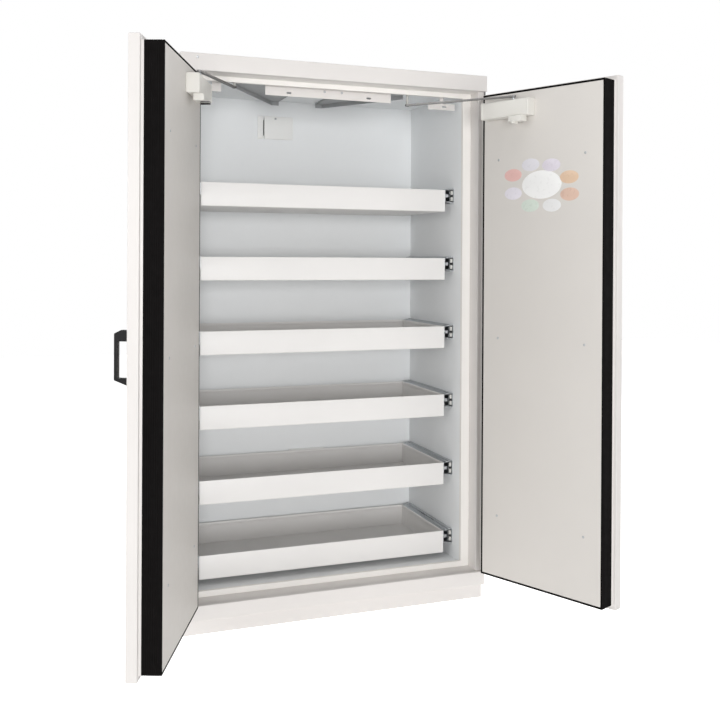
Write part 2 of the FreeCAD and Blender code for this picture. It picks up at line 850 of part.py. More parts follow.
def outer_rail(z):
    y0, y1 = slide_span()
    h = rail_half_height
    t = rail_sheet
    rail = box(x_in - rail_lip, x_in, y0, y1, z - h, z + h)
    return rail.cut(box(x_in - rail_lip - cut_overrun, x_in - t, y0 - cut_overrun, y1 + cut_overrun,
                        z - h + t, z + h - t))


def middle_member(z):
    y0, y1 = slide_span()
    t = rail_sheet
    h = rail_half_height - t - member_clearance
    web_x = x_in - middle_web_from_wall
    web = box(web_x - t, web_x, y0, y1, z - h, z + h)
    top = box(web_x - t - middle_lip_in, web_x + middle_lip_out, y0, y1, z + h - t, z + h)
    low = box(web_x - t - middle_lip_in, web_x + middle_lip_out, y0, y1, z - h, z - h + t)
    return joined(web, top, low)


def inner_runner(z):
    y0, y1 = slide_span()
    t = rail_sheet
    h = rail_half_height - 2 * t - 2 * member_clearance
    x0 = x_in - tray_side_gap
    runner = box(x0, x0 + runner_lip, y0, y1, z - h, z + h)
    return runner.cut(box(x0 + t, x0 + runner_lip + cut_overrun, y0 - cut_overrun, y1 + cut_overrun,
                          z - h + t, z + h - t))


def screw_head(x, z, y_face):
    return rod_along_y(screw_head_radius, x, z, y_face - screw_head_height, y_face)


def body_screws():
    y_plate = y_rim + header_plate_behind_rim
    plate_z = z_header_plate + plate_slot_above_edge + plate_screw_above_slot
    heads = [screw_head(x, plate_z, y_plate) for x in (-plate_screw_left_x, plate_screw_right_x)]
    for x, z in ((supply_x, z_supply_vent), (exhaust_x, z_exhaust_vent)):
        heads.append(screw_head(x, z + vent_height - screw_head_radius * 2, y_inner_back - vent_depth))
    heads.append(screw_head(fascia_screw_inset - x_out, z_fascia + fascia_screw_height, y_fascia))
    return heads


side_sheet = casing_side()
save("casing_right", side_sheet)
save("casing_left", mirrored(side_sheet))
save("casing_top", casing_top())
save("casing_back", casing_back())
save("casing_base", casing_base())
save("insulation_boards", insulation_boards())
save("liner_sides", liner_sides())
save("liner_back", liner_back())
save("liner_ceiling", liner_ceiling())
save("liner_floor", liner_floor())
save("front_frame", front_frame())
save("top_fascia", top_fascia())
save("plinth_ledge", plinth_ledge())
save("plinth_base", plinth_base())
save("levelling_feet", levelling_feet())
save("hinge_pins", hinge_pins())
save("header_plates", header_plates())
save("air_baffles", air_baffles())
save("vent_covers", vent_covers())
save("air_ducts", air_ducts())
save("roof_spigots", roof_spigots())
save("body_screws", body_screws())

rails = []
for index in range(tray_count):
    z = tray_bottom(index)
    slide_z = z + slide_above_tray_bottom
    label = "tray_" + str(index + 1)
    save(label + "_pan", tray_pan(z))
    runner = inner_runner(slide_z)
    save(label + "_runners", [runner, mirrored(runner)])
    middle = middle_member(slide_z)
    save(label + "_middles", [middle, mirrored(middle)])
    rail = outer_rail(slide_z)
    rails += [rail, mirrored(rail)]
save("slide_rails", rails)

for side in ("left", "right"):
    save("door_" + side + "_skin", at_rest(door_skin(), side))
    save("door_" + side + "_core", at_rest(door_core(), side))
    save("door_" + side + "_band", at_rest(door_band(), side))
    save("door_" + side + "_panel", at_rest(door_panel(), side))
    save("door_" + side + "_screws", [at_rest(piece, side) for piece in door_screws()])
    save("door_" + side + "_bushes", [at_rest(piece, side) for piece in door_bushes()])
    closer = [closer_housing(side), closer_damper()] + hold_open_unit()
    save("door_" + side + "_closer", [at_rest(piece, side) for piece in closer])
    arm = closer_arm(side)
    slider = closer_slider(side)
    save("closer_arm_" + side, mirrored(arm) if side == "left" else arm)
    save("closer_slider_" + side, mirrored(slider) if side == "left" else slider)
save("door_left_handle", at_rest(door_handle(), "left"))
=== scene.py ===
import json
import math

import bmesh
import bpy
from mathutils import Matrix, Vector


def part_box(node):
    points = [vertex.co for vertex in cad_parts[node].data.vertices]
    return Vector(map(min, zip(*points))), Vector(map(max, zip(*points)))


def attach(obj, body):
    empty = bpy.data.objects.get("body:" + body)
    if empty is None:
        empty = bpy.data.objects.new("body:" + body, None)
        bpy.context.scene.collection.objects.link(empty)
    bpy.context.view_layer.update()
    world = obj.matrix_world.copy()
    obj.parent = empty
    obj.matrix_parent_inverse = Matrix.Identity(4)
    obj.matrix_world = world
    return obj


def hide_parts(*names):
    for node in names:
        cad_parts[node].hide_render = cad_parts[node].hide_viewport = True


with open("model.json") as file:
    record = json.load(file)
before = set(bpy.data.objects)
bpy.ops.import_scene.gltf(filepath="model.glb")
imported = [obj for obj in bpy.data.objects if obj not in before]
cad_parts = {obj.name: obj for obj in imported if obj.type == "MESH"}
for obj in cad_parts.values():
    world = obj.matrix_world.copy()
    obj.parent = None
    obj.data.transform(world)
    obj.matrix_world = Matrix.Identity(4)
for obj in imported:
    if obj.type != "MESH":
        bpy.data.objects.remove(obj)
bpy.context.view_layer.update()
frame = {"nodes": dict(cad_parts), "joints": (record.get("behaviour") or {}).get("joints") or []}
print("frame loaded")

mm = 0.001  # every size below is in millimetres, every mesh in metres


# camera
photoCamera = {
    "place": (-1.07484, -3.4321, 1.26469),  # metres
    "turn": 20.198,  # degrees towards +X
    "tilt": -0.134,
    "roll": 0.306,
    "lens": 46.587,
    "sensor": 36,
    "shiftY": -0.13738,
}


def placeCamera(view):
    turn = math.radians(view["turn"])
    tilt = math.radians(view["tilt"])
    roll = math.radians(view["roll"])
    ahead = Vector((math.sin(turn) * math.cos(tilt), math.cos(turn) * math.cos(tilt), math.sin(tilt)))
    level = Vector((math.cos(turn), -math.sin(turn), 0))
    above = level.cross(ahead)
    right = level * math.cos(roll) + above * math.sin(roll)
    up = above * math.cos(roll) - level * math.sin(roll)
    lensData = bpy.data.cameras.new("photoCamera")
    lensData.lens = view["lens"]
    lensData.sensor_width = view["sensor"]
    lensData.shift_y = view["shiftY"]
    camera = bpy.data.objects.new("photoCamera", lensData)
    bpy.context.scene.collection.objects.link(camera)
    turned = Matrix((right, up, -ahead)).transposed().to_4x4()
    camera.matrix_world = Matrix.Translation(view["place"]) @ turned
    bpy.context.scene.camera = camera


placeCamera(photoCamera)
bpy.context.scene.view_settings.view_transform = "Standard"
print("camera placed")


# colours and finishes
noiseEnds = {"tones": (0.35, 0.65), "range": (0.3, 0.7)}  # where a noise's low and high values lie


def tone(red, green, blue):  # a screen colour in linear light
    parts = []
    for value in (red / 255, green / 255, blue / 255):
        parts.append(value / 12.92 if value <= 0.04045 else ((value + 0.055) / 1.055) ** 2.4)
    return (*parts, 1.0)


def shaded(base, share):
    return (base[0] * share, base[1] * share, base[2] * share, 1.0)


def startMaterial(name):
    material = bpy.data.materials.new(name)
    material.use_nodes = True
    tree = material.node_tree
    return material, tree, tree.nodes["Principled BSDF"]


def addNoise(tree, scale, detail, stretch):
    place = tree.nodes.new("ShaderNodeTexCoord")
    mapping = tree.nodes.new("ShaderNodeMapping")
    mapping.inputs["Scale"].default_value = stretch
    noise = tree.nodes.new("ShaderNodeTexNoise")
    noise.inputs["Scale"].default_value = scale
    noise.inputs["Detail"].default_value = detail
    tree.links.new(place.outputs["Object"], mapping.inputs["Vector"])
    tree.links.new(mapping.outputs["Vector"], noise.inputs["Vector"])
    return noise.outputs["Fac"]


def addTones(tree, value, low, high):
    ramp = tree.nodes.new("ShaderNodeValToRGB")
    for element, place, colour in zip(ramp.color_ramp.elements, noiseEnds["tones"], (low, high)):
        element.position = place
        element.color = colour
    tree.links.new(value, ramp.inputs["Fac"])
    return ramp.outputs["Color"]


def addRange(tree, value, low, high):
    spread = tree.nodes.new("ShaderNodeMapRange")
    spread.inputs["From Min"].default_value = noiseEnds["range"][0]
    spread.inputs["From Max"].default_value = noiseEnds["range"][1]
    spread.inputs["To Min"].default_value = low
    spread.inputs["To Max"].default_value = high
    tree.links.new(value, spread.inputs["Value"])
    return spread.outputs["Result"]


def addBump(tree, shader, value, depth, strength):
    bump = tree.nodes.new("ShaderNodeBump")
    bump.inputs["Strength"].default_value = strength
    bump.inputs["Distance"].default_value = depth * mm
    tree.links.new(value, bump.inputs["Height"])
    tree.links.new(bump.outputs["Normal"], shader.inputs["Normal"])


# cloud, gloss and grain are noises, each a scale and a detail; fade darkens the clouds
recipes = {
    "powder": {"cloud": (2.6, 4), "fade": 0.975, "gloss": (38, 3), "rough": 0.42, "spread": (-0.04, 0.05),
               "grain": (420, 2), "depth": 0.05, "strength": 0.35},
    "zinc": {"cloud": (60, 5), "fade": 0.8, "gloss": (60, 5), "rough": 0.34, "spread": (-0.08, 0.1),
             "grain": (900, 2), "depth": 0.02, "strength": 0.25, "sockets": {"Metallic": 1.0}},
    "plastic": {"cloud": (14, 4), "fade": 0.85, "gloss": (55, 3), "rough": 0.5, "spread": (-0.06, 0.06),
                "grain": (700, 3), "depth": 0.06, "strength": 0.5},
    "board": {"cloud": (90, 8), "fade": 0.82, "rough": 0.9, "grain": (90, 8), "depth": 0.6, "strength": 0.6,
              "stretch": (1, 1, 4)},
    "melamine": {"cloud": (1.7, 3), "fade": 0.98, "gloss": (260, 4), "rough": 0.46, "spread": (-0.06, 0.06),
                 "grain": (260, 4), "depth": 0.05, "strength": 0.4},
    "vinyl": {"cloud": (25, 3), "fade": 0.985, "gloss": (80, 2), "rough": 0.29, "spread": (-0.03, 0.03),
              "grain": (130, 2), "depth": 0.015, "strength": 0.12,
              "sockets": {"Coat Weight": 0.35, "Coat Roughness": 0.2}},
}


def makeFinish(name, kind, colour, **changes):
    look = {**recipes[kind], **changes}
    material, tree, shader = startMaterial(name)
    for socket, value in look.get("sockets", {}).items():
        shader.inputs[socket].default_value = value
    base = tone(*colour)
    stretch = look.get("stretch", (1, 1, 1))
    cloud = addNoise(tree, *look["cloud"], stretch)
    tree.links.new(addTones(tree, cloud, shaded(base, look["fade"]), base), shader.inputs["Base Color"])
    if "gloss" in look:
        low, high = [look["rough"] + change for change in look["spread"]]
        gloss = addNoise(tree, *look["gloss"], stretch)
        tree.links.new(addRange(tree, gloss, low, high), shader.inputs["Roughness"])
    else:
        shader.inputs["Roughness"].default_value = look["rough"]
    addBump(tree, shader, addNoise(tree, *look["grain"], stretch), look["depth"], look["strength"])
    return material


finishes = {
    "bodyWhite": {"kind": "powder", "colour": (229, 225, 222)},
    # a lighter copy of body white: painted light that brightens the recessed front frame, whose real paint is
    # the body's white
    "frameWhitePaintedLight": {"kind": "powder", "colour": (244, 241, 237)},
    "trayWhite": {"kind": "powder", "colour": (240, 238, 236), "rough": 0.38},
    "panelGrey": {"kind": "powder", "colour": (220, 216, 211), "rough": 0.48, "depth": 0.06,
                  "grain": (360, 2)},
    "closerWhite": {"kind": "powder", "colour": (228, 226, 220), "rough": 0.36, "depth": 0.03,
                    "grain": (600, 2)},
    "ventWhite": {"kind": "powder", "colour": (245, 245, 243), "rough": 0.4, "depth": 0.03},
    "baffleGrey": {"kind": "powder", "colour": (176, 178, 179), "rough": 0.45},
    "linerGrey": {"kind": "melamine", "colour": (244, 246, 247)},
    "mineralBoard": {"kind": "board", "colour": (196, 190, 176)},
    "bandBlack": {"kind": "plastic", "colour": (14, 12, 12), "rough": 0.8, "depth": 0.12, "grain": (320, 3),
                  "sockets": {"Specular IOR Level": 0.08}},
    "handleBlack": {"kind": "plastic", "colour": (12, 11, 13), "rough": 0.4,
                    "sockets": {"Specular IOR Level": 0.25}},
    "feetBlack": {"kind": "plastic", "colour": (45, 44, 44), "rough": 0.6},
    "sliderPlastic": {"kind": "plastic", "colour": (205, 205, 200), "rough": 0.45, "depth": 0.02},
    "zinc": {"kind": "zinc", "colour": (205, 208, 211), "stretch": (1, 0.08, 1)},
    "zincScrew": {"kind": "zinc", "colour": (196, 198, 200), "rough": 0.36},
    "armSteel": {"kind": "zinc", "colour": (138, 137, 136), "rough": 0.48},
    "ductSteel": {"kind": "zinc", "colour": (186, 189, 191), "rough": 0.36, "cloud": (34, 5),
                  "gloss": (34, 5)},
    "pinSteel": {"kind": "zinc", "colour": (190, 191, 193), "rough": 0.22, "stretch": (1, 1, 0.1)},
    "bushBrass": {"kind": "zinc", "colour": (196, 160, 92), "rough": 0.28, "stretch": (1, 1, 0.1)},
}
finish = {name: makeFinish(name, **look) for name, look in finishes.items()}
print("finishes made")


# shape tools, all in millimetres; fineness is the number of steps of a rounding or a circle
fineness = {"corner": 5, "edge": 4, "bend": 5, "slotEnd": 8, "armEnd": 16, "hole": 40, "pinHole": 20,
            "label": 48, "screw": 32, "rivet": 20, "thread": 20, "nut": 6, "pad": 36, "pin": 24,
            "spindle": 28, "tube": 56}
limits = {"leastCorner": 0.02, "straight": 0.001, "mitreShare": 0.3}


def boxOf(node):
    low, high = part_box(node)
    return [value / mm for value in low], [value / mm for value in high]


def roundedOutline(a0, a1, b0, b1, radius):
    steps = fineness["corner"]
    most = min(a1 - a0, b1 - b0) / 2 - limits["straight"]  # no two corners meet
    radius = max(min(radius, most), limits["leastCorner"])
    centres = ((a1 - radius, b1 - radius), (a0 + radius, b1 - radius),
               (a0 + radius, b0 + radius), (a1 - radius, b0 + radius))
    points = []
    for quarter, (a, b) in enumerate(centres):
        for step in range(steps + 1):
            angle = math.radians(90 * (quarter + step / steps))
            points.append((a + radius * math.cos(angle), b + radius * math.sin(angle)))
    return points


def ovalOutline(a, b, halfWide, halfHigh, steps):
    points = []
    for step in range(steps):
        angle = 2 * math.pi * step / steps
        points.append((a + halfWide * math.cos(angle), b + halfHigh * math.sin(angle)))
    return points


def slotOutline(a, b, length, height):
    steps = fineness["slotEnd"]
    half = (length - height) / 2
    points = []
    for side in (1, -1):
        for step in range(steps + 1):
            angle = math.radians(-90 + 180 * step / steps) + (0 if side > 0 else math.pi)
            points.append((a + side * half + height / 2 * math.cos(angle),
                           b + height / 2 * math.sin(angle)))
    return points


def inSpace(point, axis, level):
    a, b = point
    if axis == "z":
        return (a, b, level)
    if axis == "y":
        return (a, level, b)
    return (level, a, b)


def loft(bm, loops, closed=False):
    rings = [[bm.verts.new(point) for point in loop] for loop in loops]
    pairs = list(zip(rings, rings[1:]))
    if closed:
        pairs.append((rings[-1], rings[0]))
    for first, second in pairs:
        for index in range(len(first)):
            after = (index + 1) % len(first)
            bm.faces.new((first[index], first[after], second[after], second[index]))
    if not closed:
        bm.faces.new(rings[0][::-1])
        bm.faces.new(rings[-1])


def rectLoops(outer, corner, rows, axis):  # each row is an inset and a level along the axis
    a0, a1, b0, b1 = outer
    loops = []
    for inset, level in rows:
        flat = roundedOutline(a0 + inset, a1 - inset, b0 + inset, b1 - inset, corner - inset)
        loops.append([inSpace(point, axis, level) for point in flat])
    return loops


def filletRows(edge, level, direction):  # a rounded edge, from the end face at level
    steps = fineness["edge"]
    rows = []
    for step in range(steps + 1):
        angle = math.radians(90 * step / steps)
        rows.append((edge * (1 - math.sin(angle)), level + direction * edge * (1 - math.cos(angle))))
    return rows


def roundedBlock(bm, low, high, axis, corner, edge):
    along = "xyz".index(axis)
    across = [index for index in range(3) if index != along]
    outer = (low[across[0]], high[across[0]], low[across[1]], high[across[1]])
    rows = filletRows(edge, low[along], 1) + filletRows(edge, high[along], -1)[::-1]
    loft(bm, rectLoops(outer, corner, rows, axis))


def openTray(bm, outer, corner, axis, openLevel, faceLevel, sheet, edge):  # a shallow pressed sheet
    into = 1 if openLevel > faceLevel else -1
    rows = [(sheet + edge / 2, faceLevel + into * sheet), (sheet, faceLevel + into * (sheet + edge / 2)),
            (sheet, openLevel), (0, openLevel)]
    rows += filletRows(edge, faceLevel, into)[::-1]
    loft(bm, rectLoops(outer, corner, rows, axis))


def bentPath(points, radius):
    steps = fineness["bend"]
    dense = [Vector(points[0])]
    for before, at, after in zip(points, points[1:], points[2:]):
        at = Vector(at)
        toward = (Vector(before) - at).normalized()
        onward = (Vector(after) - at).normalized()
        half = toward.angle(onward) / 2
        reach = radius / math.tan(half)
        centre = at + (toward + onward).normalized() * radius / math.sin(half)
        start = at + toward * reach - centre
        stop = at + onward * reach - centre
        swing = math.atan2(start.cross(stop), start.dot(stop))
        for step in range(steps + 1):
            angle = swing * step / steps
            dense.append(centre + Matrix.Rotation(angle, 2) @ start)
    dense.append(Vector(points[-1]))
    return dense


def sheetOutline(path, thickness):
    left = []
    right = []
    for index, point in enumerate(path):
        before = (point - path[index - 1]).normalized() if index > 0 else None
        after = (path[index + 1] - point).normalized() if index < len(path) - 1 else None
        if before is None or after is None:
            run = before or after
        else:
            run = (before + after).normalized()
        stretch = 1 / max((before or after).dot(run), limits["mitreShare"])  # no spike at a sharp bend
        side = Vector((-run.y, run.x)) * thickness / 2 * stretch
        left.append(tuple(point + side))
        right.append(tuple(point - side))
    return left + right[::-1]


def foldedSheet(bm, points, thickness, bend, axis, low, high):
    outline = sheetOutline(bentPath(points, bend), thickness)
    loft(bm, [[inSpace(point, axis, level) for point in outline] for level in (low, high)])


def flatPlate(bm, outline, holes, axis, low, high):
    edges = []
    contours = []
    for contour in [outline] + holes:
        verts = [bm.verts.new(inSpace(point, axis, low)) for point in contour]
        contours.append(verts)
        edges += [bm.edges.new((verts[index - 1], verts[index])) for index in range(len(verts))]
    filled = bmesh.ops.triangle_fill(bm, use_beauty=True, use_dissolve=True, edges=edges)
    lowFaces = [item for item in filled["geom"] if isinstance(item, bmesh.types.BMFace)]
    along = "xyz".index(axis)
    copy = {}
    for verts in contours:
        for vert in verts:
            place = list(vert.co)
            place[along] = high
            copy[vert] = bm.verts.new(place)
    for face in lowFaces:
        bm.faces.new([copy[vert] for vert in face.verts][::-1])
    for verts in contours:
        for index in range(len(verts)):
            first = verts[index - 1]
            second = verts[index]
            bm.faces.new((first, second, copy[second], copy[first]))


# the profile is radius and level pairs; star gives a ring's radius for each spoke
def lathe(bm, profile, centre, axis, steps, star=None):
    rings = []
    for index, (radius, level) in enumerate(profile):
        ring = []
        for step in range(steps):
            angle = 2 * math.pi * (step + 0.5) / steps
            reach = radius
            if star and index in star:
                reach = radius * star[index](angle)
            ring.append((reach * math.cos(angle), reach * math.sin(angle)))
        rings.append([inSpace(point, axis, level) for point in ring])
    placed = []
    for ring in rings:
        placed.append([(point[0] + centre[0], point[1] + centre[1], point[2] + centre[2]) for point in ring])
    loft(bm, placed)


def ringLathe(bm, profile, centre, axis, steps):
    loops = []
    for radius, level in profile:
        loop = []
        for step in range(steps):
            angle = 2 * math.pi * step / steps
            point = inSpace((radius * math.cos(angle), radius * math.sin(angle)), axis, level)
            loop.append((point[0] + centre[0], point[1] + centre[1], point[2] + centre[2]))
        loops.append(loop)
    loft(bm, loops, True)


# pan head with a cross recess: the head is shares of its radius and height, foot first
screw = {"radius": 4.5, "height": 1.6, "footShare": 0.9, "sunk": 0.5, "recessRings": (6, 7),
         "slotShare": 0.17, "webShare": 0.42,
         "head": [(1, 0), (1, 0.3), (0.93, 0.68), (0.76, 0.92), (0.56, 1), (0.48, 0.98), (0.42, 0.35)]}


def crossSpoke(angle):
    turn = (angle % (math.pi / 2)) / (math.pi / 2)
    return 1.0 if min(turn, 1 - turn) < screw["slotShare"] else screw["webShare"]


def crossScrew(bm, place, axis, direction, radius=screw["radius"], height=screw["height"]):
    along = "xyz".index(axis)
    rows = [(radius * screw["footShare"], -screw["sunk"])]
    rows += [(radius * wide, height * rise) for wide, rise in screw["head"]]
    centre = list(place)
    level = centre[along]
    centre[along] = 0
    lathe(bm, [(size, level + direction * rise) for size, rise in rows], centre, axis, fineness["screw"],
          {ring: crossSpoke for ring in screw["recessRings"]})


def mirrorMesh(bm):
    for vert in bm.verts:
        vert.co.x = -vert.co.x


doorTurns = {}
for joint in frame["joints"]:
    if joint["name"].endswith("_door_hinge"):
        pivot = (abs(joint["pos_m"][0]) / mm, joint["pos_m"][1] / mm)
        doorTurns[joint["name"].split("_")[0]] = (pivot, -joint["range_deg"][0])


def openDoor(bm, side):
    (x, y), degrees = doorTurns[side]  # meshes are drawn on the closed right-hand door, then swung
    swing = Matrix.Translation((x, y, 0)) @ Matrix.Rotation(math.radians(degrees), 4, "Z")
    bmesh.ops.transform(bm, matrix=swing @ Matrix.Translation((-x, -y, 0)), verts=bm.verts)
    if side == "left":
        mirrorMesh(bm)


softEdge = {"body": 0.35, "node": 0.4, "segments": 2, "fromAngle": 38, "weld": 0.01}


def makePiece(name, bm, body, material, nodes=(), bevel=softEdge["body"],
              segments=softEdge["segments"]):
    bmesh.ops.recalc_face_normals(bm, faces=bm.faces)
    bmesh.ops.scale(bm, vec=(mm, mm, mm), verts=bm.verts)
    mesh = bpy.data.meshes.new(name)
    bm.to_mesh(mesh)
    bm.free()
    mesh.shade_smooth()
    piece = bpy.data.objects.new(name, mesh)
    bpy.context.scene.collection.objects.link(piece)
    mesh.materials.append(finish[material])
    if bevel:
        softenEdges(piece, bevel, segments)
    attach(piece, body)
    if nodes:
        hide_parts(*nodes)


def softenEdges(piece, width, segments=softEdge["segments"]):
    bevel = piece.modifiers.new("softEdges", "BEVEL")
    bevel.width = width * mm
    bevel.segments = segments
    bevel.limit_method = "ANGLE"
    bevel.angle_limit = math.radians(softEdge["fromAngle"])
    bevel.harden_normals = True
    bevel.miter_outer = "MITER_ARC"


def dressNode(node, material, slotName, bevel=softEdge["node"]):
    piece = frame["nodes"][node]
    piece.data.materials.clear()
    piece.data.materials.append(finish[material])
    weld = piece.modifiers.new("weld", "WELD")
    weld.merge_threshold = softEdge["weld"] * mm
    softenEdges(piece, bevel)


def whitePiece(name, bm, nodes=(), bevel=softEdge["body"], segments=softEdge["segments"]):
    makePiece(name, bm, "cabinet", "bodyWhite", nodes, bevel, segments)


def doorPiece(name, bm, side, slotName, material, part="", bevel=0):
    openDoor(bm, side)
    nodes = ["door_" + side + "_" + part] if part else ()
    makePiece(name + side.capitalize(), bm, side + "_door", material, nodes, bevel)


# casing: wrapped side sheets, roof sheet, pressed back sheet with rivets
casing = {"sheet": 1.5, "bend": 2.4, "rimReturn": 60,
          "roofCorner": 2.5, "roofEdge": 0.6, "roofSegments": 3, "ductHole": 36,
          "backCorner": 2, "backEdge": 0.4, "backBorder": 15, "backPress": 1.2, "pressRun": 3,
          "rivetPitch": 262, "rivetFromEdge": 27, "rivetRadius": 4,
          "rivet": [(1, -0.3), (1, 0.25), (0.8, 0.7), (0.45, 1), (0.2, 1), (0.14, 0.5)]}  # radius share, rise


def makeCasing():
    low, high = boxOf("casing_right")
    half = casing["sheet"] / 2
    for side in ("right", "left"):
        bm = bmesh.new()
        foldedSheet(bm, [(high[0] - half, high[1]), (high[0] - half, low[1] + half),
                         (low[0] + half, low[1] + half), (low[0] + half, low[1] + casing["rimReturn"])],
                    casing["sheet"], casing["bend"], "z", low[2], high[2])
        if side == "left":
            mirrorMesh(bm)
        whitePiece("casingSide" + side.capitalize(), bm, ["casing_" + side])


def makeRoof():
    low, high = boxOf("casing_top")
    bm = bmesh.new()
    hole = casing["ductHole"]
    holes = [ovalOutline(x, y, hole, hole, fineness["hole"]) for x, y in spigotCentres()]
    flatPlate(bm, roundedOutline(low[0], high[0], low[1], high[1], casing["roofCorner"]), holes,
              "z", low[2], high[2])
    whitePiece("casingRoof", bm, ["casing_top"], casing["roofEdge"], casing["roofSegments"])


def spigotCentres():
    low, high = boxOf("roof_spigots")
    reach = (high[1] - low[1]) / 2
    return [(low[0] + reach, low[1] + reach), (high[0] - reach, low[1] + reach)]


def evenPlaces(start, stop, pitch):
    count = round((stop - start) / pitch)
    return [start + (stop - start) * index / count for index in range(count + 1)]


def makeBack():
    low, high = boxOf("casing_back")
    bm = bmesh.new()
    face = high[1] - casing["backPress"]
    border = casing["backBorder"]
    edge = casing["backEdge"]
    run = casing["pressRun"]
    rows = [(0, low[1]), (0, high[1] - edge), (edge, high[1]), (border, high[1]),
            (border + run / 2, high[1] - edge), (border + run, face)]
    loft(bm, rectLoops((low[0], high[0], low[2], high[2]), casing["backCorner"], rows, "y"))
    inset = casing["rivetFromEdge"]
    places = []
    for z in evenPlaces(low[2] + inset, high[2] - inset, casing["rivetPitch"]):
        places += [(low[0] + inset, z), (high[0] - inset, z)]
    for x in evenPlaces(low[0] + inset, high[0] - inset, casing["rivetPitch"])[1:-1]:
        places += [(x, low[2] + inset), (x, high[2] - inset)]
    for x, z in places:
        profile = [(casing["rivetRadius"] * share, face + rise) for share, rise in casing["rivet"]]
        lathe(bm, profile, (x, 0, z), "y", fineness["rivet"])
    whitePiece("casingBack", bm, ["casing_back"], 0)


makeCasing()
makeRoof()
makeBack()
dressNode("casing_base", "bodyWhite", "body_white")
print("casing done")


# linings and insulation keep their solids; each has its finish, its slot and its softened edge
linings = {
    "liner_sides": ("linerGrey", "liner_grey", 0.3),
    "liner_back": ("linerGrey", "liner_grey", 0.3),
    "liner_ceiling": ("linerGrey", "liner_grey", 0.3),
    "liner_floor": ("linerGrey", "liner_grey", 0.3),
    "insulation_boards": ("mineralBoard", "mineral_board", 0.5),
    "air_ducts": ("ductSteel", "duct_steel", 0.3),
    # the front frame's finish carries painted light, a lighter body white that brightens its shaded recess
    "front_frame": ("frameWhitePaintedLight", "body_white", 0.7),
}
for node, dress in linings.items():
    dressNode(node, *dress)
print("linings dressed")


# fascia, plinth ledge, plinth and feet; a foot's pad is drawn as radius and height pairs
frontStrips = {"sheet": 1.5, "corner": 2.5, "edge": 2.5, "shelfLap": 3, "shelfCorner": 0.5, "shelfEdge": 0.3,
               "screwFromLeft": 57, "screwAbove": 44}
plinth = {"sheet": 2.5, "corner": 4, "softEdge": 0.5, "channelHalf": 40, "channelBend": 3}
foot = {"padRadius": 22, "padHeight": 8, "stem": 6, "threadPitch": 1.5, "threadDepth": 0.7, "threadLap": 0.5,
        "nut": 11, "nutHeight": 9, "nutChamfer": 0.8, "nutEndShare": 0.88,
        "pad": [(20, 0), (21.4, 0.6), (22, 2), (22, 4), (21, 5), (13.2, 6.2), (9.9, 8), (6, 8)]}


def makeStrip(bm, node, y0, y1):
    low, high = boxOf(node)
    openTray(bm, (low[0], high[0], low[2], high[2]), frontStrips["corner"], "y", y1, y0,
             frontStrips["sheet"], frontStrips["edge"])


def makeFrontStrips():
    low, high = boxOf("top_fascia")
    y0 = low[1]
    y1 = high[1]
    bm = bmesh.new()
    makeStrip(bm, "top_fascia", y0, y1)
    whitePiece("topFascia", bm, ["top_fascia"])
    bm = bmesh.new()
    makeStrip(bm, "plinth_ledge", y0, y1)
    low, high = boxOf("plinth_ledge")
    rim = boxOf("casing_right")[0][0]
    roundedBlock(bm, (-rim, y1 - frontStrips["shelfLap"], high[2] - frontStrips["sheet"]),
                 (rim, high[1], high[2]), "z", frontStrips["shelfCorner"], frontStrips["shelfEdge"])
    whitePiece("plinthLedge", bm, ["plinth_ledge"])


def makePlinth():
    low, high = boxOf("plinth_base")
    bm = bmesh.new()
    t = plinth["sheet"]
    rows = [(0, low[2]), (0, high[2]), (t, high[2]), (t, low[2])]
    loft(bm, rectLoops((low[0], high[0], low[1], high[1]), plinth["corner"], rows, "z"), True)
    half = plinth["channelHalf"] - t / 2
    foldedSheet(bm, [(-half, high[2]), (-half, low[2] + t / 2), (half, low[2] + t / 2), (half, high[2])],
                t, plinth["channelBend"], "y", low[1] + t, high[1] - t)
    whitePiece("plinthSkirt", bm, ["plinth_base"], plinth["softEdge"])


def makeFeet():
    low, high = boxOf("levelling_feet")
    pads = bmesh.new()
    steel = bmesh.new()
    top = high[2]
    base = top - foot["nutHeight"]
    nut = foot["nut"]
    nutEnd = nut * foot["nutEndShare"]
    chamfer = foot["nutChamfer"]
    stem = foot["stem"]
    root = stem - foot["threadDepth"]
    pitch = foot["threadPitch"]
    threads = []
    z = foot["padHeight"] - 1
    while z < base:
        threads += [(root, z), (stem, z + pitch / 2)]
        z += pitch
    threads.append((root, base + foot["threadLap"]))
    for x in (low[0] + foot["padRadius"], high[0] - foot["padRadius"]):
        for y in (low[1] + foot["padRadius"], high[1] - foot["padRadius"]):
            lathe(pads, [(radius, low[2] + rise) for radius, rise in foot["pad"]], (x, y, 0), "z",
                  fineness["pad"])
            lathe(steel, threads, (x, y, 0), "z", fineness["thread"])
            lathe(steel, [(nutEnd, base), (nut, base + chamfer), (nut, top - chamfer), (nutEnd, top)],
                  (x, y, 0), "z", fineness["nut"])
    makePiece("footPads", pads, "cabinet", "feetBlack", ["levelling_feet"], 0)
    makePiece("footScrews", steel, "cabinet", "zincScrew", (), 0)


makeFrontStrips()
makePlinth()
makeFeet()
print("front strips, plinth and feet done")


# header fittings under the ceiling
ceilingZ = boxOf("header_plates")[1][2]
header = {"sheet": 1.5, "bend": 1.6, "fold": 8, "flange": 20, "left": 252, "right": 228, "drop": 59,
          "faceY": -213.5, "slotLength": 18, "slotHeight": 7, "slotAboveEdge": 12, "slotLeft": 165,
          "slotRight": 140, "screwAbove": 13, "screwLeft": 31, "screwRight": 35}
clip = {"x0": 385, "width": 111, "height": 24, "drop": 70, "faceY": -203.5, "slotShare": 0.6,
        "neckShare": 0.14}
bracket = {"x0": -440, "width": 32, "drop": 57, "faceY": -203.5}
track = {"x0": -406, "x1": 330, "y": -224.5, "width": 18, "height": 20, "lip": 4, "sheet": 1.5, "bend": 1.3,
         "softEdge": 0.25}


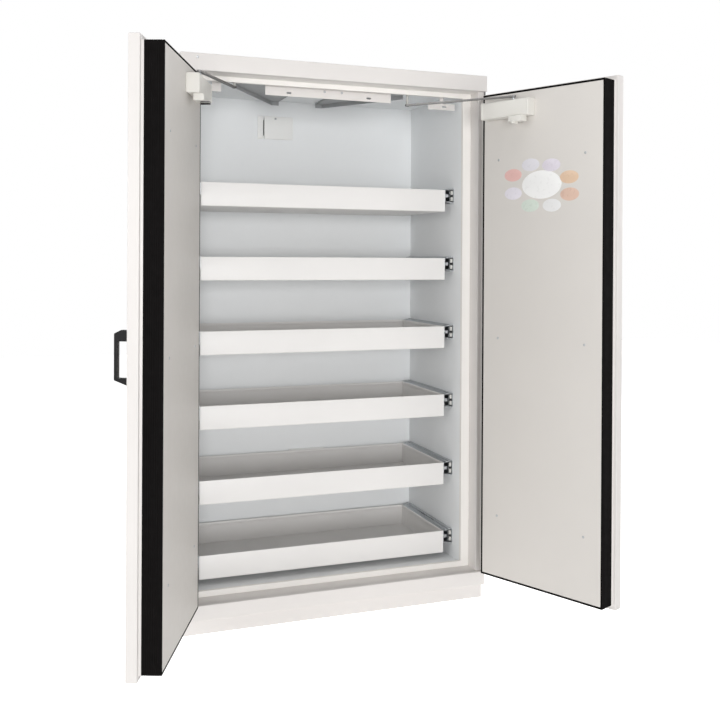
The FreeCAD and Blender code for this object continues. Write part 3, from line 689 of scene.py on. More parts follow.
# a plate with a flange on the ceiling, from x0 to x1; its outline ends at the flange's fold
def hangingPlate(name, faceY, outline, holes, x0, x1, nodes=()):
    t = header["sheet"]
    middle = faceY + t / 2
    high = ceilingZ - t / 2
    bm = bmesh.new()
    flatPlate(bm, outline, holes, "y", faceY, faceY + t)
    foldedSheet(bm, [(middle, ceilingZ - header["fold"]), (middle, high), (faceY + header["flange"], high)],
                t, header["bend"], "x", x0, x1)
    whitePiece(name, bm, nodes)


def plateSlot(x, z):
    return slotOutline(x, z, header["slotLength"], header["slotHeight"])


def makeHeader():
    fold = ceilingZ - header["fold"]
    x0 = -header["left"]
    x1 = header["right"]
    z0 = ceilingZ - header["drop"]
    slotZ = z0 + header["slotAboveEdge"]
    slots = [plateSlot(-header["slotLeft"], slotZ), plateSlot(header["slotRight"], slotZ)]
    hangingPlate("headerPlate", header["faceY"], [(x0, z0), (x1, z0), (x1, fold), (x0, fold)], slots, x0, x1,
                 ["header_plates"])

    x0 = clip["x0"]
    x1 = x0 + clip["width"]
    z0 = ceilingZ - clip["drop"]
    z1 = z0 + clip["height"]
    neck = clip["width"] * clip["neckShare"] / 2
    neck0 = (x0 + x1) / 2 - neck
    neck1 = (x0 + x1) / 2 + neck
    outline = [(x0, z0), (x1, z0), (x1, z1), (neck1, z1), (neck1, fold), (neck0, fold), (neck0, z1), (x0, z1)]
    slots = [plateSlot(x0 + clip["width"] * clip["slotShare"], z0 + clip["height"] / 2)]
    hangingPlate("clipPlate", clip["faceY"], outline, slots, neck0, neck1)

    x0 = bracket["x0"]
    x1 = x0 + bracket["width"]
    z0 = ceilingZ - bracket["drop"]
    hangingPlate("leftBracket", bracket["faceY"], [(x0, z0), (x1, z0), (x1, fold), (x0, fold)], [], x0, x1)

    bm = bmesh.new()
    half = track["width"] / 2 - track["sheet"] / 2
    low = ceilingZ - track["height"] + track["sheet"] / 2
    high = ceilingZ - track["sheet"] / 2
    mouth = track["width"] / 2 - track["lip"]
    y = track["y"]
    foldedSheet(bm, [(y - mouth, low), (y - half, low), (y - half, high), (y + half, high), (y + half, low),
                     (y + mouth, low)], track["sheet"], track["bend"], "x", track["x0"], track["x1"])
    whitePiece("headerTrack", bm, (), track["softEdge"])


baffle = {"drop": 6, "sheet": 1.5, "bend": 1, "centre": -7.5, "inner": 77.5, "outer": 331.5, "tip": 28,
          "front": -187.5, "corner": -99.5, "rear": 222.5, "lip": 15, "seam": 6}


def makeBaffles():
    z0 = ceilingZ - baffle["drop"]
    t = baffle["sheet"]
    front = baffle["front"]
    corner = baffle["corner"]
    rear = baffle["rear"]
    for side in (-1, 1):
        bm = bmesh.new()
        inner = baffle["centre"] + side * baffle["inner"]
        tip = inner + side * baffle["tip"]
        outer = baffle["centre"] + side * baffle["outer"]
        flatPlate(bm, [(inner, front), (outer, front), (outer, corner), (tip, rear), (inner, rear)], [],
                  "z", z0, z0 + t)
        foldedSheet(bm, [(inner + side * baffle["seam"], z0 + t / 2), (inner + side * t / 2, z0 + t / 2),
                         (inner + side * t / 2, ceilingZ)], t, baffle["bend"], "y", front, rear)
        slant = [(outer, corner), (tip, rear), (tip, rear - t), (outer, corner - t)]
        ends = [(inner, rear - t), (tip, rear - t), (tip, rear), (inner, rear)]
        for lip in (slant, ends):
            flatPlate(bm, lip, [], "z", z0 - baffle["lip"], z0)
        name = "airBaffleLeft" if side < 0 else "airBaffleRight"
        makePiece(name, bm, "cabinet", "baffleGrey", ["air_baffles"] if side < 0 else ())


vent = {"width": 146, "height": 92, "sheet": 1.5, "corner": 3, "edge": 2.2, "screwDrop": 9,
        "strip": 22, "stripCorner": 2.5, "groove": 5, "softEdge": 0.3}


def makeVents():
    low, high = boxOf("vent_covers")
    half = vent["width"] / 2
    centres = ((low[0] + half, high[2]), (high[0] - half, low[2] + vent["height"]))
    bm = bmesh.new()
    screws = bmesh.new()
    for index, (x, z1) in enumerate(centres):
        z0 = z1 - vent["height"]
        start = x - half
        if index == 0:  # the upper cover has a narrow strip beside it
            openTray(bm, (start, start + vent["strip"], z0, z1), vent["stripCorner"], "y", high[1], low[1],
                     vent["sheet"], vent["edge"])
            start += vent["strip"] + vent["groove"]
        openTray(bm, (start, x + half, z0, z1), vent["corner"], "y", high[1], low[1],
                 vent["sheet"], vent["edge"])
        crossScrew(screws, (x, low[1], z1 - vent["screwDrop"]), "y", -1)
    makePiece("ventCovers", bm, "cabinet", "ventWhite", ["vent_covers"], vent["softEdge"])
    z = ceilingZ - header["drop"] + header["slotAboveEdge"] + header["screwAbove"]
    for x in (-header["screwLeft"], header["screwRight"]):
        crossScrew(screws, (x, header["faceY"], z), "y", -1)
    low, high = boxOf("top_fascia")
    place = (low[0] + frontStrips["screwFromLeft"], low[1], low[2] + frontStrips["screwAbove"])
    crossScrew(screws, place, "y", -1)
    makePiece("bodyScrews", screws, "cabinet", "zincScrew", ["body_screws"], 0)


makeHeader()
makeBaffles()
makeVents()
print("header fittings and vents done")


# roof spigots
spigot = {"radius": 37.5, "wall": 1.5, "flange": 50, "flangeSheet": 1.5, "root": 2, "rootShare": 0.3,
          "bead": 1.2, "beadShare": 0.7, "beadAt": 36, "beadHalf": 3, "rim": 0.5, "innerRim": 0.3,
          "groove": 0.6, "grooveHalf": 2, "softEdge": 0.2,
          "screwAngles": (45, 135, 225, 315), "screwOut": 0.5, "screwRadius": 3.2, "screwHeight": 1.4}


def makeSpigots():
    low, high = boxOf("roof_spigots")
    bm = bmesh.new()
    screws = bmesh.new()
    r = spigot["radius"]
    inner = r - spigot["wall"]
    z0 = low[2]
    z1 = high[2]
    root = spigot["root"]
    fillet = root * spigot["rootShare"]
    bead = r + spigot["bead"]
    beadSide = r + spigot["bead"] * spigot["beadShare"]
    half = spigot["beadHalf"]
    rim = spigot["rim"]
    groove = spigot["groove"]
    at = z0 + spigot["beadAt"]
    base = z0 + spigot["flangeSheet"]
    profile = [(inner, z0), (spigot["flange"], z0), (spigot["flange"], base), (r + root, base),
               (r + fillet, base + fillet), (r, base + root), (r, at - half), (beadSide, at - half / 2),
               (bead, at), (beadSide, at + half / 2), (r, at + half), (r, z1 - 2 * rim), (r - rim, z1),
               (inner + spigot["innerRim"], z1), (inner, z1 - groove), (inner, at + spigot["grooveHalf"]),
               (inner + groove, at), (inner, at - spigot["grooveHalf"])]
    reach = (spigot["flange"] + r) / 2 + spigot["screwOut"]
    for x, y in spigotCentres():
        ringLathe(bm, profile, (x, y, 0), "z", fineness["tube"])
        for degrees in spigot["screwAngles"]:
            angle = math.radians(degrees)
            crossScrew(screws, (x + reach * math.cos(angle), y + reach * math.sin(angle), base), "z", 1,
                       spigot["screwRadius"], spigot["screwHeight"])
    makePiece("roofSpigots", bm, "cabinet", "ductSteel", ["roof_spigots"],
              spigot["softEdge"])
    makePiece("spigotScrews", screws, "cabinet", "zincScrew", (), 0)


makeSpigots()


# hinge pins
pin = {"radius": 3, "tip": 0.6, "tipLength": 1, "intoDoor": 34, "doorGap": 0.3,
       "head": 4.4, "headHeight": 3, "headTaper": 0.2, "headChamfer": 0.8,
       "collar": 6, "collarUp": 1.5, "collarEdge": 0.5, "collarChamfer": 0.4}


def makePins():
    low, high = boxOf("hinge_pins")
    doorLow, doorHigh = boxOf("door_right_skin")
    x, y = doorTurns["right"][0]
    bm = bmesh.new()
    r = pin["radius"]
    tip = r - pin["tip"]
    head = pin["head"]
    chamfer = pin["headChamfer"]
    underHead = high[2] - pin["headHeight"]
    deep = doorHigh[2] - pin["intoDoor"]
    upper = [(tip, deep), (r, deep + pin["tipLength"]), (r, underHead - pin["headTaper"]), (head, underHead),
             (head, high[2] - chamfer), (head - chamfer, high[2])]
    collar = pin["collar"]
    rim = collar - pin["collarChamfer"]
    start = low[2] + pin["collarUp"]
    stop = doorLow[2] - pin["doorGap"]
    end = doorLow[2] + pin["intoDoor"]
    lower = [(r, low[2]), (r, start), (rim, start), (collar, start + pin["collarEdge"]),
             (collar, stop - pin["collarChamfer"]), (rim, stop), (r, stop), (r, end - pin["tipLength"]),
             (tip, end)]
    for side in (-1, 1):
        for profile in (upper, lower):
            lathe(bm, profile, (side * x, y, 0), "z", fineness["pin"])
    makePiece("hingePins", bm, "cabinet", "pinSteel", ["hinge_pins"], 0)


makePins()
print("spigots and pins done")


# trays on telescopic slides; the pan's rounds are insets with drops or rises
tray = {"count": 6, "sheet": 2, "corner": 3, "fold": 3, "rim": 4.2, "rimDepth": 12,
        "rimOutside": [(0, 1.6), (0.45, 0.45), (1.6, 0)], "rimInside": [(-1.4, 0), (-0.35, 0.45), (0, 1.5)],
        "rimFoot": [(0.4, 0.8), (0, 1.6)], "floorRound": [(0, 2), (0.6, 0.6), (2, 0)]}
slide = {"halfHeight": 28.5, "sheet": 2, "aboveBottom": 61.5, "gap": 38, "play": 0.4, "bend": 2.2,
         "softEdge": 0.25, "outerLip": 18, "outerBend": 5, "screwRadius": 5, "screwShares": (0.12, 0.5, 0.88),
         "stopReach": 8, "stopHalf": 9, "stopLength": 7, "stopGap": 1, "stopCorner": 1.5, "stopEdge": 0.8,
         "middleWeb": 16, "middleOut": 11, "middleIn": 12, "backToBack": 0.3,
         "cageFromWall": 4, "cageWidth": 9, "cageLow": 4, "cageHigh": 20, "cageLength": 9,
         "cageFromFront": 1.5, "cageCorner": 3, "cageEdge": 1,
         "runnerLip": 17, "plugFrom": 3, "plugTo": 9, "plugHalf": 6, "plugInset": 1, "plugCorner": 1,
         "plugEdge": 0.5}


def makePan(number):
    node = "tray_" + number + "_pan"
    low, high = boxOf(node)
    t = tray["sheet"]
    rim = tray["rim"]
    top = high[2]
    rimEnd = top - tray["rimDepth"]
    rows = filletRows(tray["fold"], low[2], 1)
    rows += [(inset, top - drop) for inset, drop in tray["rimOutside"]]
    rows += [(rim + inset, top - drop) for inset, drop in tray["rimInside"]]
    rows += [(rim, rimEnd)]
    rows += [(t + inset, rimEnd - drop) for inset, drop in tray["rimFoot"]]
    rows += [(t + inset, low[2] + t + rise) for inset, rise in tray["floorRound"]]
    bm = bmesh.new()
    loft(bm, rectLoops((low[0], high[0], low[1], high[1]), tray["corner"], rows, "z"))
    makePiece("trayPan" + number, bm, "tray_" + number, "trayWhite", [node], 0)


def channel(bm, lip, web, z, half, bend, span):  # a C section along Y, span is its two ends
    foldedSheet(bm, [(lip, z + half), (web, z + half), (web, z - half), (lip, z - half)],
                slide["sheet"], bend, "y", *span)


def sideBlock(bm, side, across, along, height, corner, edge):  # a block on the left or right side
    x0, x1 = sorted((side * across[0], side * across[1]))
    roundedBlock(bm, (x0, along[0], height[0]), (x1, along[1], height[1]), "y", corner, edge)


def makeSlides(number, rails, stops):
    pan = boxOf("tray_" + number + "_pan")
    wall = pan[1][0] + slide["gap"]
    span = [corner[1] for corner in boxOf("tray_" + number + "_runners")]
    y0, y1 = span
    z = pan[0][2] + slide["aboveBottom"]
    t = slide["sheet"]
    outerHalf = slide["halfHeight"] - t / 2
    middleHalf = outerHalf - t - slide["play"]
    runnerHalf = middleHalf - t - slide["play"]
    middles = bmesh.new()
    cages = bmesh.new()
    runners = bmesh.new()
    for side in (-1, 1):
        lip = wall - slide["outerLip"]
        channel(rails, side * lip, side * (wall - t / 2), z, outerHalf, slide["outerBend"], span)
        for share in slide["screwShares"]:
            place = (side * (wall - t), y0 + (y1 - y0) * share, z)
            crossScrew(rails, place, "x", -side, slide["screwRadius"])
        along = (y1 - slide["stopLength"], y1 - slide["stopGap"])
        height = (z - slide["stopHalf"], z + slide["stopHalf"])
        sideBlock(stops, side, (wall - slide["stopReach"], wall - t), along, height,
                  slide["stopCorner"], slide["stopEdge"])

        web = wall - slide["middleWeb"] - t / 2
        outLip = web + t / 2 + slide["middleOut"]
        inLip = web - t / 2 - slide["middleIn"]
        inWeb = web - slide["backToBack"]
        channel(middles, side * outLip, side * web, z, middleHalf, slide["bend"], span)
        channel(middles, side * inLip, side * inWeb, z, middleHalf, slide["bend"], span)
        outside = wall - slide["cageFromWall"]
        start = y0 + slide["cageFromFront"]
        for height in ((z - slide["cageHigh"], z - slide["cageLow"]),
                       (z + slide["cageLow"], z + slide["cageHigh"])):
            sideBlock(cages, side, (outside, outside - slide["cageWidth"]),
                      (start, start + slide["cageLength"]), height, slide["cageCorner"], slide["cageEdge"])

        web = wall - slide["gap"] + t / 2
        lip = web - t / 2 + slide["runnerLip"]
        channel(runners, side * lip, side * web, z, runnerHalf, slide["bend"], span)
        along = (y0 + slide["plugFrom"], y0 + slide["plugTo"])
        height = (z - slide["plugHalf"], z + slide["plugHalf"])
        sideBlock(runners, side, (web + slide["plugInset"], lip - slide["plugInset"]), along, height,
                  slide["plugCorner"], slide["plugEdge"])
    body = "tray_" + number
    makePiece("slideMiddles" + number, middles, body + "_middle_members", "zinc", [body + "_middles"],
              slide["softEdge"])
    makePiece("slideCages" + number, cages, body + "_middle_members", "sliderPlastic",
              (), 0)
    makePiece("slideRunners" + number, runners, body, "zinc", [body + "_runners"], slide["softEdge"])


railMesh = bmesh.new()
stopMesh = bmesh.new()
for trayNumber in range(1, tray["count"] + 1):
    makePan(str(trayNumber))
    makeSlides(str(trayNumber), railMesh, stopMesh)
makePiece("slideRails", railMesh, "cabinet", "zinc", ["slide_rails"], slide["softEdge"])
makePiece("slideStops", stopMesh, "cabinet", "sliderPlastic", (), 0)
print("trays and slides done")


# doors: the outer leaf with its collar, the block in its black band, the inner panel
door = {"freeX": 2, "outX": 570, "rearY": -314.5, "depth": 33, "sheet": 1.5, "bottom": 104, "top": 1878,
        "corner": 3, "edge": 2.6, "softEdge": 0.25, "coreEdge": 0.3}
block = {"x0": 13, "x1": 514, "bottom": 120, "top": 1862, "depth": 65, "collar": 8, "collarCorner": 2,
         "collarEnd": [(2.4, -0.4), (2, 0), (0.7, 0), (0.2, -0.2), (0, -0.7)],  # insets with steps along Y
         "collarRoot": [(0, 1), (-0.3, 0.3), (-1, 0)]}
band = {"corner": 3, "startInset": 0.2, "firstRib": 2, "plainEnds": 6, "ribPitch": 6.2, "ribDepth": 0.9,
        "rib": [(0, 0), (0, 3.8), (1, 4.3), (1, 5.4)], "frontRound": [(0, 2), (0.3, 0.7), (1, 0.1), (2, 0)],
        "lip": 7, "lipSheet": 2, "lipRound": [(1.2, 0), (0.3, 0.3), (0, 1), (0, 2.4)]}
panel = {"sheet": 1.5, "gap": 0.3, "corner": 3, "edge": [(0, 0.5), (0.15, 0.15), (0.6, 0)],
         "screwFromHinge": 128, "screwFromFree": 84, "screwFromTop": 240, "screwFromBottom": 224}
bush = {"bore": 3.05, "radius": 4.8, "length": 40, "softEdge": 0.2}
panelY = door["rearY"] + block["depth"] - band["lipSheet"] + panel["sheet"]
blockOutline = (block["x0"], block["x1"], block["bottom"], block["top"])


def makeDoorSkin(side):
    bm = bmesh.new()
    rear = door["rearY"]
    front = rear - door["depth"]
    outer = (door["freeX"], door["outX"], door["bottom"], door["top"])
    end = rear + block["collar"]
    rows = [(block["collarEnd"][0][0], rear - door["sheet"] * 2)]
    rows += [(inset, end + step) for inset, step in block["collarEnd"]]
    rows += [(inset, rear + step) for inset, step in block["collarRoot"]]
    loops = rectLoops(blockOutline, block["collarCorner"], rows, "y")
    loops += rectLoops(outer, door["corner"], filletRows(door["edge"], rear, -1), "y")
    loops += rectLoops(outer, door["corner"], filletRows(door["edge"], front, 1)[::-1], "y")
    loft(bm, loops)
    doorPiece("doorSkin", bm, side, "body_white", "bodyWhite", "skin", door["softEdge"])
    dressNode("door_" + side + "_core", "mineralBoard", "mineral_board", door["coreEdge"])


def makeDoorBand(side):
    bm = bmesh.new()
    start = door["rearY"] + block["collar"]
    end = door["rearY"] + block["depth"]
    lip = band["lip"]
    rows = [(band["startInset"], start)]
    for index in range(int((end - start - band["plainEnds"]) / band["ribPitch"])):
        base = start + band["firstRib"] + index * band["ribPitch"]
        rows += [(band["ribDepth"] * share, base + step) for share, step in band["rib"]]
    rows += [(inset, end - back) for inset, back in band["frontRound"]]
    rows += [(lip - inset, end - back) for inset, back in band["lipRound"]]
    loft(bm, rectLoops(blockOutline, band["corner"], rows, "y"))
    doorPiece("doorBand", bm, side, "band_black", "bandBlack", "band")


def doorScrewPlaces():
    x = (door["outX"] - panel["screwFromHinge"], door["freeX"] + panel["screwFromFree"])
    low = block["bottom"] + panel["screwFromBottom"]
    high = block["top"] - panel["screwFromTop"]
    return [(across, z) for z in (high, (high + low) / 2, low) for across in x]


def makeDoorPanel(side):
    bm = bmesh.new()
    inset = band["lip"] + panel["gap"]
    x0, x1, z0, z1 = blockOutline
    rows = [(0, panelY - panel["sheet"] - panel["gap"])]
    rows += [(step, panelY - back) for step, back in panel["edge"]]
    loft(bm, rectLoops((x0 + inset, x1 - inset, z0 + inset, z1 - inset), panel["corner"], rows, "y"))
    doorPiece("doorPanel", bm, side, "panel_grey", "panelGrey", "panel")
    bm = bmesh.new()
    for x, z in doorScrewPlaces():
        crossScrew(bm, (x, panelY, z), "y", 1)
    doorPiece("doorScrews", bm, side, "zinc", "zincScrew", "screws")
    bm = bmesh.new()
    x, y = doorTurns["right"][0]
    low = (door["bottom"], door["bottom"] + bush["length"])
    high = (door["top"] - bush["length"], door["top"])
    for z0, z1 in (high, low):
        ringLathe(bm, [(bush["bore"], z0), (bush["radius"], z0), (bush["radius"], z1), (bush["bore"], z1)],
                  (x, y, 0), "z", fineness["pin"])
    doorPiece("doorBushes", bm, side, "bush_brass", "bushBrass", "bushes", bush["softEdge"])


# door closers with the hold-open unit under them, their arms and sliders
# left and right in holdOpen are the lever's slot and finish; the arm's rivet is radius and rise
closer = {"x0": 288, "length": 205, "depth": 41.5, "bottom": 1766, "height": 61, "cap": 9, "capLap": 1,
          "step": 0.7, "corner": 5, "edge": 1.6, "middleEdge": 0.2}
holdOpen = {"x0": 310, "length": 56, "height": 20, "fromPanel": 17.5, "depth": 50, "corner": 2.5, "edge": 1.2,
            "leverWidth": 12, "leverThick": 9, "leverReach": 16, "leverCorner": 5, "leaf": 4.5,
            "leafGap": 1.5, "leafEdges": (1.2, 0.8),
            "spacerInset": 2, "spacerLap": 0.5, "spacerCorner": 3, "spacerEdge": 0.3,
            "left": ("handle_black", "handleBlack"), "right": ("closer_white", "closerWhite")}
arms = {
    "left": {"fromHinge": 120, "beforePanel": 9, "z": 1859, "trackX": 366},
    "right": {"fromHinge": 207, "beforePanel": 22, "z": 1836, "trackX": 290},
}
armBar = {"width": 12, "sheet": 6, "eye": 8.5, "pin": 3, "pinPlay": 0.1, "play": 0.3,
          "softEdge": 0.4, "post": 5.5, "postSunk": 3, "shoulder": 0.6, "shoulderIn": 0.5,
          "head": 1.8, "headShare": 0.7, "rivet": [(2.6, -1.6), (4.6, -1.2), (5.4, -0.2), (5.4, 0.5)]}
slider = {"play": 0.4, "corner": 3, "edge": 1, "post": 4.6, "postTip": 4.2, "postEdge": 0.4, "postLap": 1}


def makeCloser(side):
    y0 = panelY
    y1 = y0 + closer["depth"]
    x0 = closer["x0"]
    x1 = x0 + closer["length"]
    z0 = closer["bottom"]
    z1 = z0 + closer["height"]
    cap = closer["cap"]
    inside = cap - closer["capLap"]
    step = closer["step"]
    bm = bmesh.new()
    for a, b in ((x0, x0 + cap), (x1 - cap, x1)):
        roundedBlock(bm, (a, y0, z0), (b, y1, z1), "x", closer["corner"], closer["edge"])
    roundedBlock(bm, (x0 + inside, y0, z0 + step), (x1 - inside, y1 - step, z1 - step), "x", closer["corner"],
                 closer["middleEdge"])
    holderEnd = holdOpen["x0"] + holdOpen["length"]
    holderLow = z0 - holdOpen["height"]
    roundedBlock(bm, (holdOpen["x0"], y0 + holdOpen["fromPanel"], holderLow),
                 (holderEnd, y0 + holdOpen["depth"], z0 + 1), "x", holdOpen["corner"], holdOpen["edge"])
    doorPiece("doorCloser", bm, side, "closer_white", "closerWhite", "closer")

    # the lever is two leaves with a spacer between them
    middle = (holdOpen["x0"] + holderEnd) / 2
    front = y0 + holdOpen["depth"]
    half = holdOpen["leverWidth"] / 2
    reach = holdOpen["leverReach"]
    corner = holdOpen["leverCorner"]
    low = holderLow - holdOpen["leverThick"]
    gapLow = low + holdOpen["leaf"]
    gapHigh = gapLow + holdOpen["leafGap"]
    bm = bmesh.new()
    for (a, b), edge in zip(((low, gapLow), (gapHigh, holderLow)), holdOpen["leafEdges"]):
        roundedBlock(bm, (middle - half, front - reach, a), (middle + half, front + reach, b),
                     "z", corner, edge)
    doorPiece("holdOpenLever", bm, side, *holdOpen[side])
    half -= holdOpen["spacerInset"]
    reach -= holdOpen["spacerInset"]
    lap = holdOpen["spacerLap"]
    bm = bmesh.new()
    roundedBlock(bm, (middle - half, front - reach, gapLow - lap),
                 (middle + half, front + reach, gapHigh + lap),
                 "z", holdOpen["spacerCorner"], holdOpen["spacerEdge"])
    doorPiece("leverSpacer", bm, side, "closer_white", "closerWhite")

    # spindle: a post from the housing, the pin through the arm's eye, a head over it
    arm = arms[side]
    under = arm["z"] - armBar["play"]
    over = arm["z"] + armBar["sheet"] + armBar["play"]
    post = armBar["post"]
    head = armBar["head"]
    bm = bmesh.new()
    lathe(bm, [(post, z1 - armBar["postSunk"]), (post, under - armBar["shoulder"]),
               (post - armBar["shoulderIn"], under), (armBar["pin"], under), (armBar["pin"], over),
               (post, over), (post, over + head / 2), (post * armBar["headShare"], over + head)],
          (door["outX"] - arm["fromHinge"], panelY + arm["beforePanel"], 0), "z",
          fineness["spindle"])
    doorPiece("closerSpindle", bm, side, "closer_white", "zincScrew")


def armOutline(length):
    points = []
    cut = math.degrees(math.asin(armBar["width"] / 2 / armBar["eye"]))
    steps = fineness["armEnd"]
    for centre, start in ((length, -(180 - cut)), (0, cut)):
        sweep = 360 - 2 * cut
        for step in range(steps + 1):
            angle = math.radians(start + sweep * step / steps)
            points.append((centre + armBar["eye"] * math.cos(angle), armBar["eye"] * math.sin(angle)))
    return points


def makeArm(side):
    arm = arms[side]
    (pivotX, pivotY), degrees = doorTurns[side]
    turn = math.radians(degrees)
    dx = door["outX"] - arm["fromHinge"] - pivotX
    dy = panelY + arm["beforePanel"] - pivotY
    eye = Vector((pivotX + dx * math.cos(turn) - dy * math.sin(turn),
                  pivotY + dx * math.sin(turn) + dy * math.cos(turn)))
    end = Vector((arm["trackX"], track["y"]))
    run = end - eye
    low = arm["z"]
    hole = armBar["pin"] + armBar["pinPlay"]
    bm = bmesh.new()
    flatPlate(bm, armOutline(run.length), [ovalOutline(0, 0, hole, hole, fineness["pinHole"])],
              "z", low, low + armBar["sheet"])
    rivet = [(radius, low + rise) for radius, rise in armBar["rivet"]]
    lathe(bm, rivet, (run.length, 0, 0), "z", fineness["pin"])
    along = math.atan2(run.y, run.x)
    place = Matrix.Translation((eye.x, eye.y, 0)) @ Matrix.Rotation(along, 4, "Z")
    bmesh.ops.transform(bm, matrix=place, verts=bm.verts)
    if side == "left":
        mirrorMesh(bm)
    makePiece("closerArm" + side.capitalize(), bm, side + "_closer_arm", "armSteel",
              ["closer_arm_" + side], armBar["softEdge"])

    node = "closer_slider_" + side
    low, high = boxOf(node)
    base = ceilingZ - track["height"] + track["sheet"] + slider["play"]
    bm = bmesh.new()
    roundedBlock(bm, (low[0], low[1], base), high, "z", slider["corner"], slider["edge"])
    lathe(bm, [(slider["postTip"], low[2]), (slider["post"], low[2] + slider["postEdge"]),
               (slider["post"], base + slider["postLap"])],
          ((low[0] + high[0]) / 2, (low[1] + high[1]) / 2, 0), "z", fineness["pin"])
    makePiece("armSlider" + side.capitalize(), bm, side + "_arm_slider",
              "sliderPlastic", [node], 0)


for doorSide in ("left", "right"):
    makeDoorSkin(doorSide)
    makeDoorBand(doorSide)
    makeDoorPanel(doorSide)
    makeCloser(doorSide)
    makeArm(doorSide)
print("doors, closers and arms done")


# pull handle on the left door
pull = {"fromFree": 33, "z0": 910, "length": 156, "projection": 42, "width": 20, "bar": 11,
        "upperLeg": 32, "lowerLeg": 24, "topOut": 20, "topHeight": 10, "footHeight": 17,
        "softEdge": 2.4, "segments": 4}


def makePull():
    face = door["rearY"] - door["depth"]
    out = face - pull["projection"]
    grip = out + pull["bar"]
    z0 = pull["z0"]
    z1 = z0 + pull["length"]
    x = door["freeX"] + pull["fromFree"]
    half = pull["width"] / 2
    outline = [(face, z0), (out, z0 + pull["footHeight"]), (out, z1 - pull["topHeight"]),
               (out + pull["topOut"], z1), (face, z1), (face, z1 - pull["upperLeg"]),
               (grip, z1 - pull["upperLeg"]), (grip, z0 + pull["lowerLeg"]), (face, z0 + pull["lowerLeg"])]
    bm = bmesh.new()
    loft(bm, [[(level, a, b) for a, b in outline] for level in (x - half, x + half)])
    openDoor(bm, "left")
    makePiece("doorPull", bm, "left_door", "handleBlack", ["door_left_handle"],
              pull["softEdge"], pull["segments"])


makePull()


# plain vinyl ovals on the right door's inner panel
# each has its distance from the hinge side and its height, then its half sizes or its tone
labels = {"sheet": 0.25, "sunk": 0.1, "edge": 0.3, "edgeShare": 0.7, "main": (311, 1525, 81, 49),
          "mainTone": (247, 247, 246), "smallHalf": (37, 22),
          "small": [(191, 1564, (226, 184, 178)), (265, 1596, (224, 222, 228)), (350, 1590, (226, 220, 230)),
                    (422, 1545, (230, 200, 172)), (424, 1487, (226, 194, 176)), (353, 1452, (238, 238, 238)),
                    (264, 1454, (214, 224, 214)), (192, 1499, (228, 224, 232))]}


def makeLabels():
    places = [(labels["main"], labels["mainTone"])]
    for fromSide, z, colour in labels["small"]:
        places.append(((fromSide, z, *labels["smallHalf"]), colour))
    thick = labels["sheet"]
    rows = ((0, panelY - labels["sunk"]), (0, panelY + thick * labels["edgeShare"]),
            (labels["edge"], panelY + thick))
    for index, ((fromSide, z, wide, high), colour) in enumerate(places):
        name = "labelOval" + str(index)
        finish[name] = makeFinish(name, "vinyl", colour)
        bm = bmesh.new()
        x = door["outX"] - fromSide
        ovals = [ovalOutline(x, z, wide - inset, high - inset, fineness["label"]) for inset, level in rows]
        loft(bm, [[(a, level, b) for a, b in oval] for oval, (inset, level) in zip(ovals, rows)])
        openDoor(bm, "right")
        makePiece(name, bm, "right_door", name, (), 0)


makeLabels()
print("handle and labels done")


# floor, lamps and surroundings
studio = {"ambient": 0.15, "floorHalf": 9, "floorLevel": -0.0005, "floorTone": (246, 246, 246),
          "floorRough": 0.9, "floorGlow": 0.5, "floorLift": 0.36}
lamps = {  # places, aims and sizes in metres, power in watts
    "key": {"place": (-4.6, -3.5, 2.2), "aim": (0.2, 0, 1.0), "size": 2.4, "power": 54},
    "fill": {"place": (3.5, -3.2, 1.8), "aim": (0, 0, 1.0), "size": 2.2, "power": 13},
    "front": {"place": (-1.8, -10.0, 1.4), "aim": (0, 0, 1.0), "size": 2.4, "power": 400},
    "left": {"place": (-5.0, 0.8, 2.2), "aim": (0, 0, 1.0), "size": 2.6, "power": 41},
    "right": {"place": (5.0, 0.8, 2.2), "aim": (0, 0, 1.0), "size": 2.6, "power": 62},
    "rear": {"place": (0.8, 5.0, 2.6), "aim": (0, 0, 1.0), "size": 2.6, "power": 110},
    "top": {"place": (-0.3, -2.4, 4.8), "aim": (0, 0, 1.2), "size": 2.0, "power": 26},
}


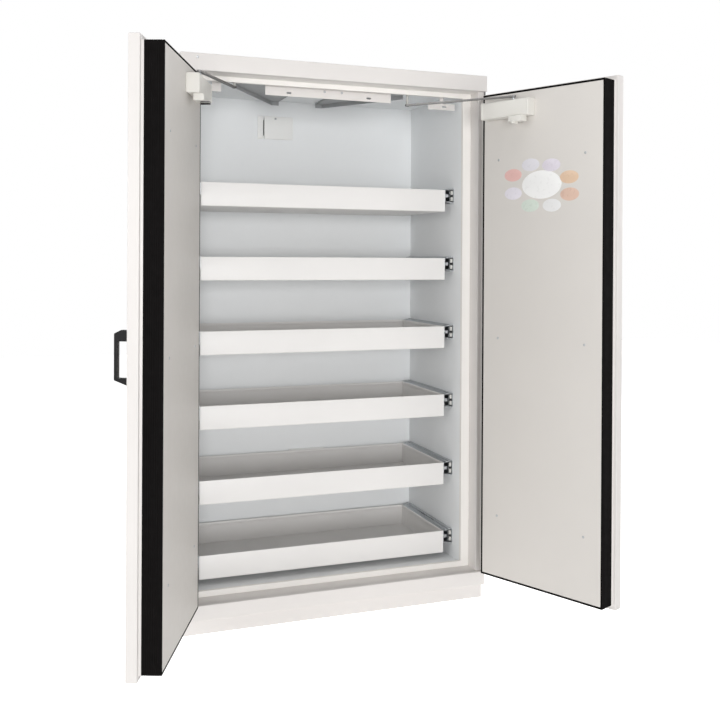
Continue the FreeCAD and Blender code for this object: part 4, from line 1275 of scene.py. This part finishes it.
def makeFloor():
    half = studio["floorHalf"]
    corners = ((-half, -half), (half, -half), (half, half), (-half, half))
    bm = bmesh.new()
    bm.faces.new([bm.verts.new((x, y, studio["floorLevel"])) for x, y in corners])
    mesh = bpy.data.meshes.new("studioFloor")
    bm.to_mesh(mesh)
    bm.free()
    floor = bpy.data.objects.new("studioFloor", mesh)
    bpy.context.scene.collection.objects.link(floor)
    material, tree, shader = startMaterial("studioFloor")
    shader.inputs["Base Color"].default_value = tone(*studio["floorTone"])
    shader.inputs["Roughness"].default_value = studio["floorRough"]
    glow = tree.nodes.new("ShaderNodeEmission")
    glow.inputs["Strength"].default_value = studio["floorGlow"]
    seen = tree.nodes.new("ShaderNodeLightPath")
    both = tree.nodes.new("ShaderNodeAddShader")
    pick = tree.nodes.new("ShaderNodeMixShader")
    tree.links.new(shader.outputs["BSDF"], both.inputs[0])
    tree.links.new(glow.outputs["Emission"], both.inputs[1])
    tree.links.new(seen.outputs["Is Camera Ray"], pick.inputs["Fac"])
    tree.links.new(shader.outputs["BSDF"], pick.inputs[1])
    tree.links.new(both.outputs["Shader"], pick.inputs[2])
    lift = tree.nodes.new("ShaderNodeEmission")
    lift.inputs["Strength"].default_value = studio["floorLift"]
    total = tree.nodes.new("ShaderNodeAddShader")
    tree.links.new(pick.outputs["Shader"], total.inputs[0])
    tree.links.new(lift.outputs["Emission"], total.inputs[1])
    tree.links.new(total.outputs["Shader"], tree.nodes["Material Output"].inputs["Surface"])
    mesh.materials.append(material)


def makeWorld():
    world = bpy.data.worlds.new("studio")
    world.use_nodes = True
    tree = world.node_tree
    ambient = tree.nodes["Background"]
    ambient.inputs["Color"].default_value = (1, 1, 1, 1)
    ambient.inputs["Strength"].default_value = studio["ambient"]
    white = tree.nodes.new("ShaderNodeBackground")
    white.inputs["Color"].default_value = (1, 1, 1, 1)
    white.inputs["Strength"].default_value = 1.0
    seen = tree.nodes.new("ShaderNodeLightPath")
    first = tree.nodes.new("ShaderNodeMath")
    first.operation = "MAXIMUM"
    second = tree.nodes.new("ShaderNodeMath")
    second.operation = "MAXIMUM"
    mix = tree.nodes.new("ShaderNodeMixShader")
    tree.links.new(seen.outputs["Is Camera Ray"], first.inputs[0])
    tree.links.new(seen.outputs["Is Glossy Ray"], first.inputs[1])
    tree.links.new(first.outputs["Value"], second.inputs[0])
    tree.links.new(seen.outputs["Is Transmission Ray"], second.inputs[1])
    tree.links.new(second.outputs["Value"], mix.inputs["Fac"])
    tree.links.new(ambient.outputs["Background"], mix.inputs[1])
    tree.links.new(white.outputs["Background"], mix.inputs[2])
    tree.links.new(mix.outputs["Shader"], tree.nodes["World Output"].inputs["Surface"])
    bpy.context.scene.world = world


def makeLamps():
    for name, lamp in lamps.items():
        light = bpy.data.lights.new(name + "Lamp", "AREA")
        light.shape = "SQUARE"
        light.size = lamp["size"]
        light.energy = lamp["power"]
        holder = bpy.data.objects.new(name + "Lamp", light)
        bpy.context.scene.collection.objects.link(holder)
        aim = Vector(lamp["aim"]) - Vector(lamp["place"])
        turned = aim.to_track_quat("-Z", "Y").to_matrix().to_4x4()
        holder.matrix_world = Matrix.Translation(lamp["place"]) @ turned


makeFloor()
makeWorld()
makeLamps()
print("studio done")
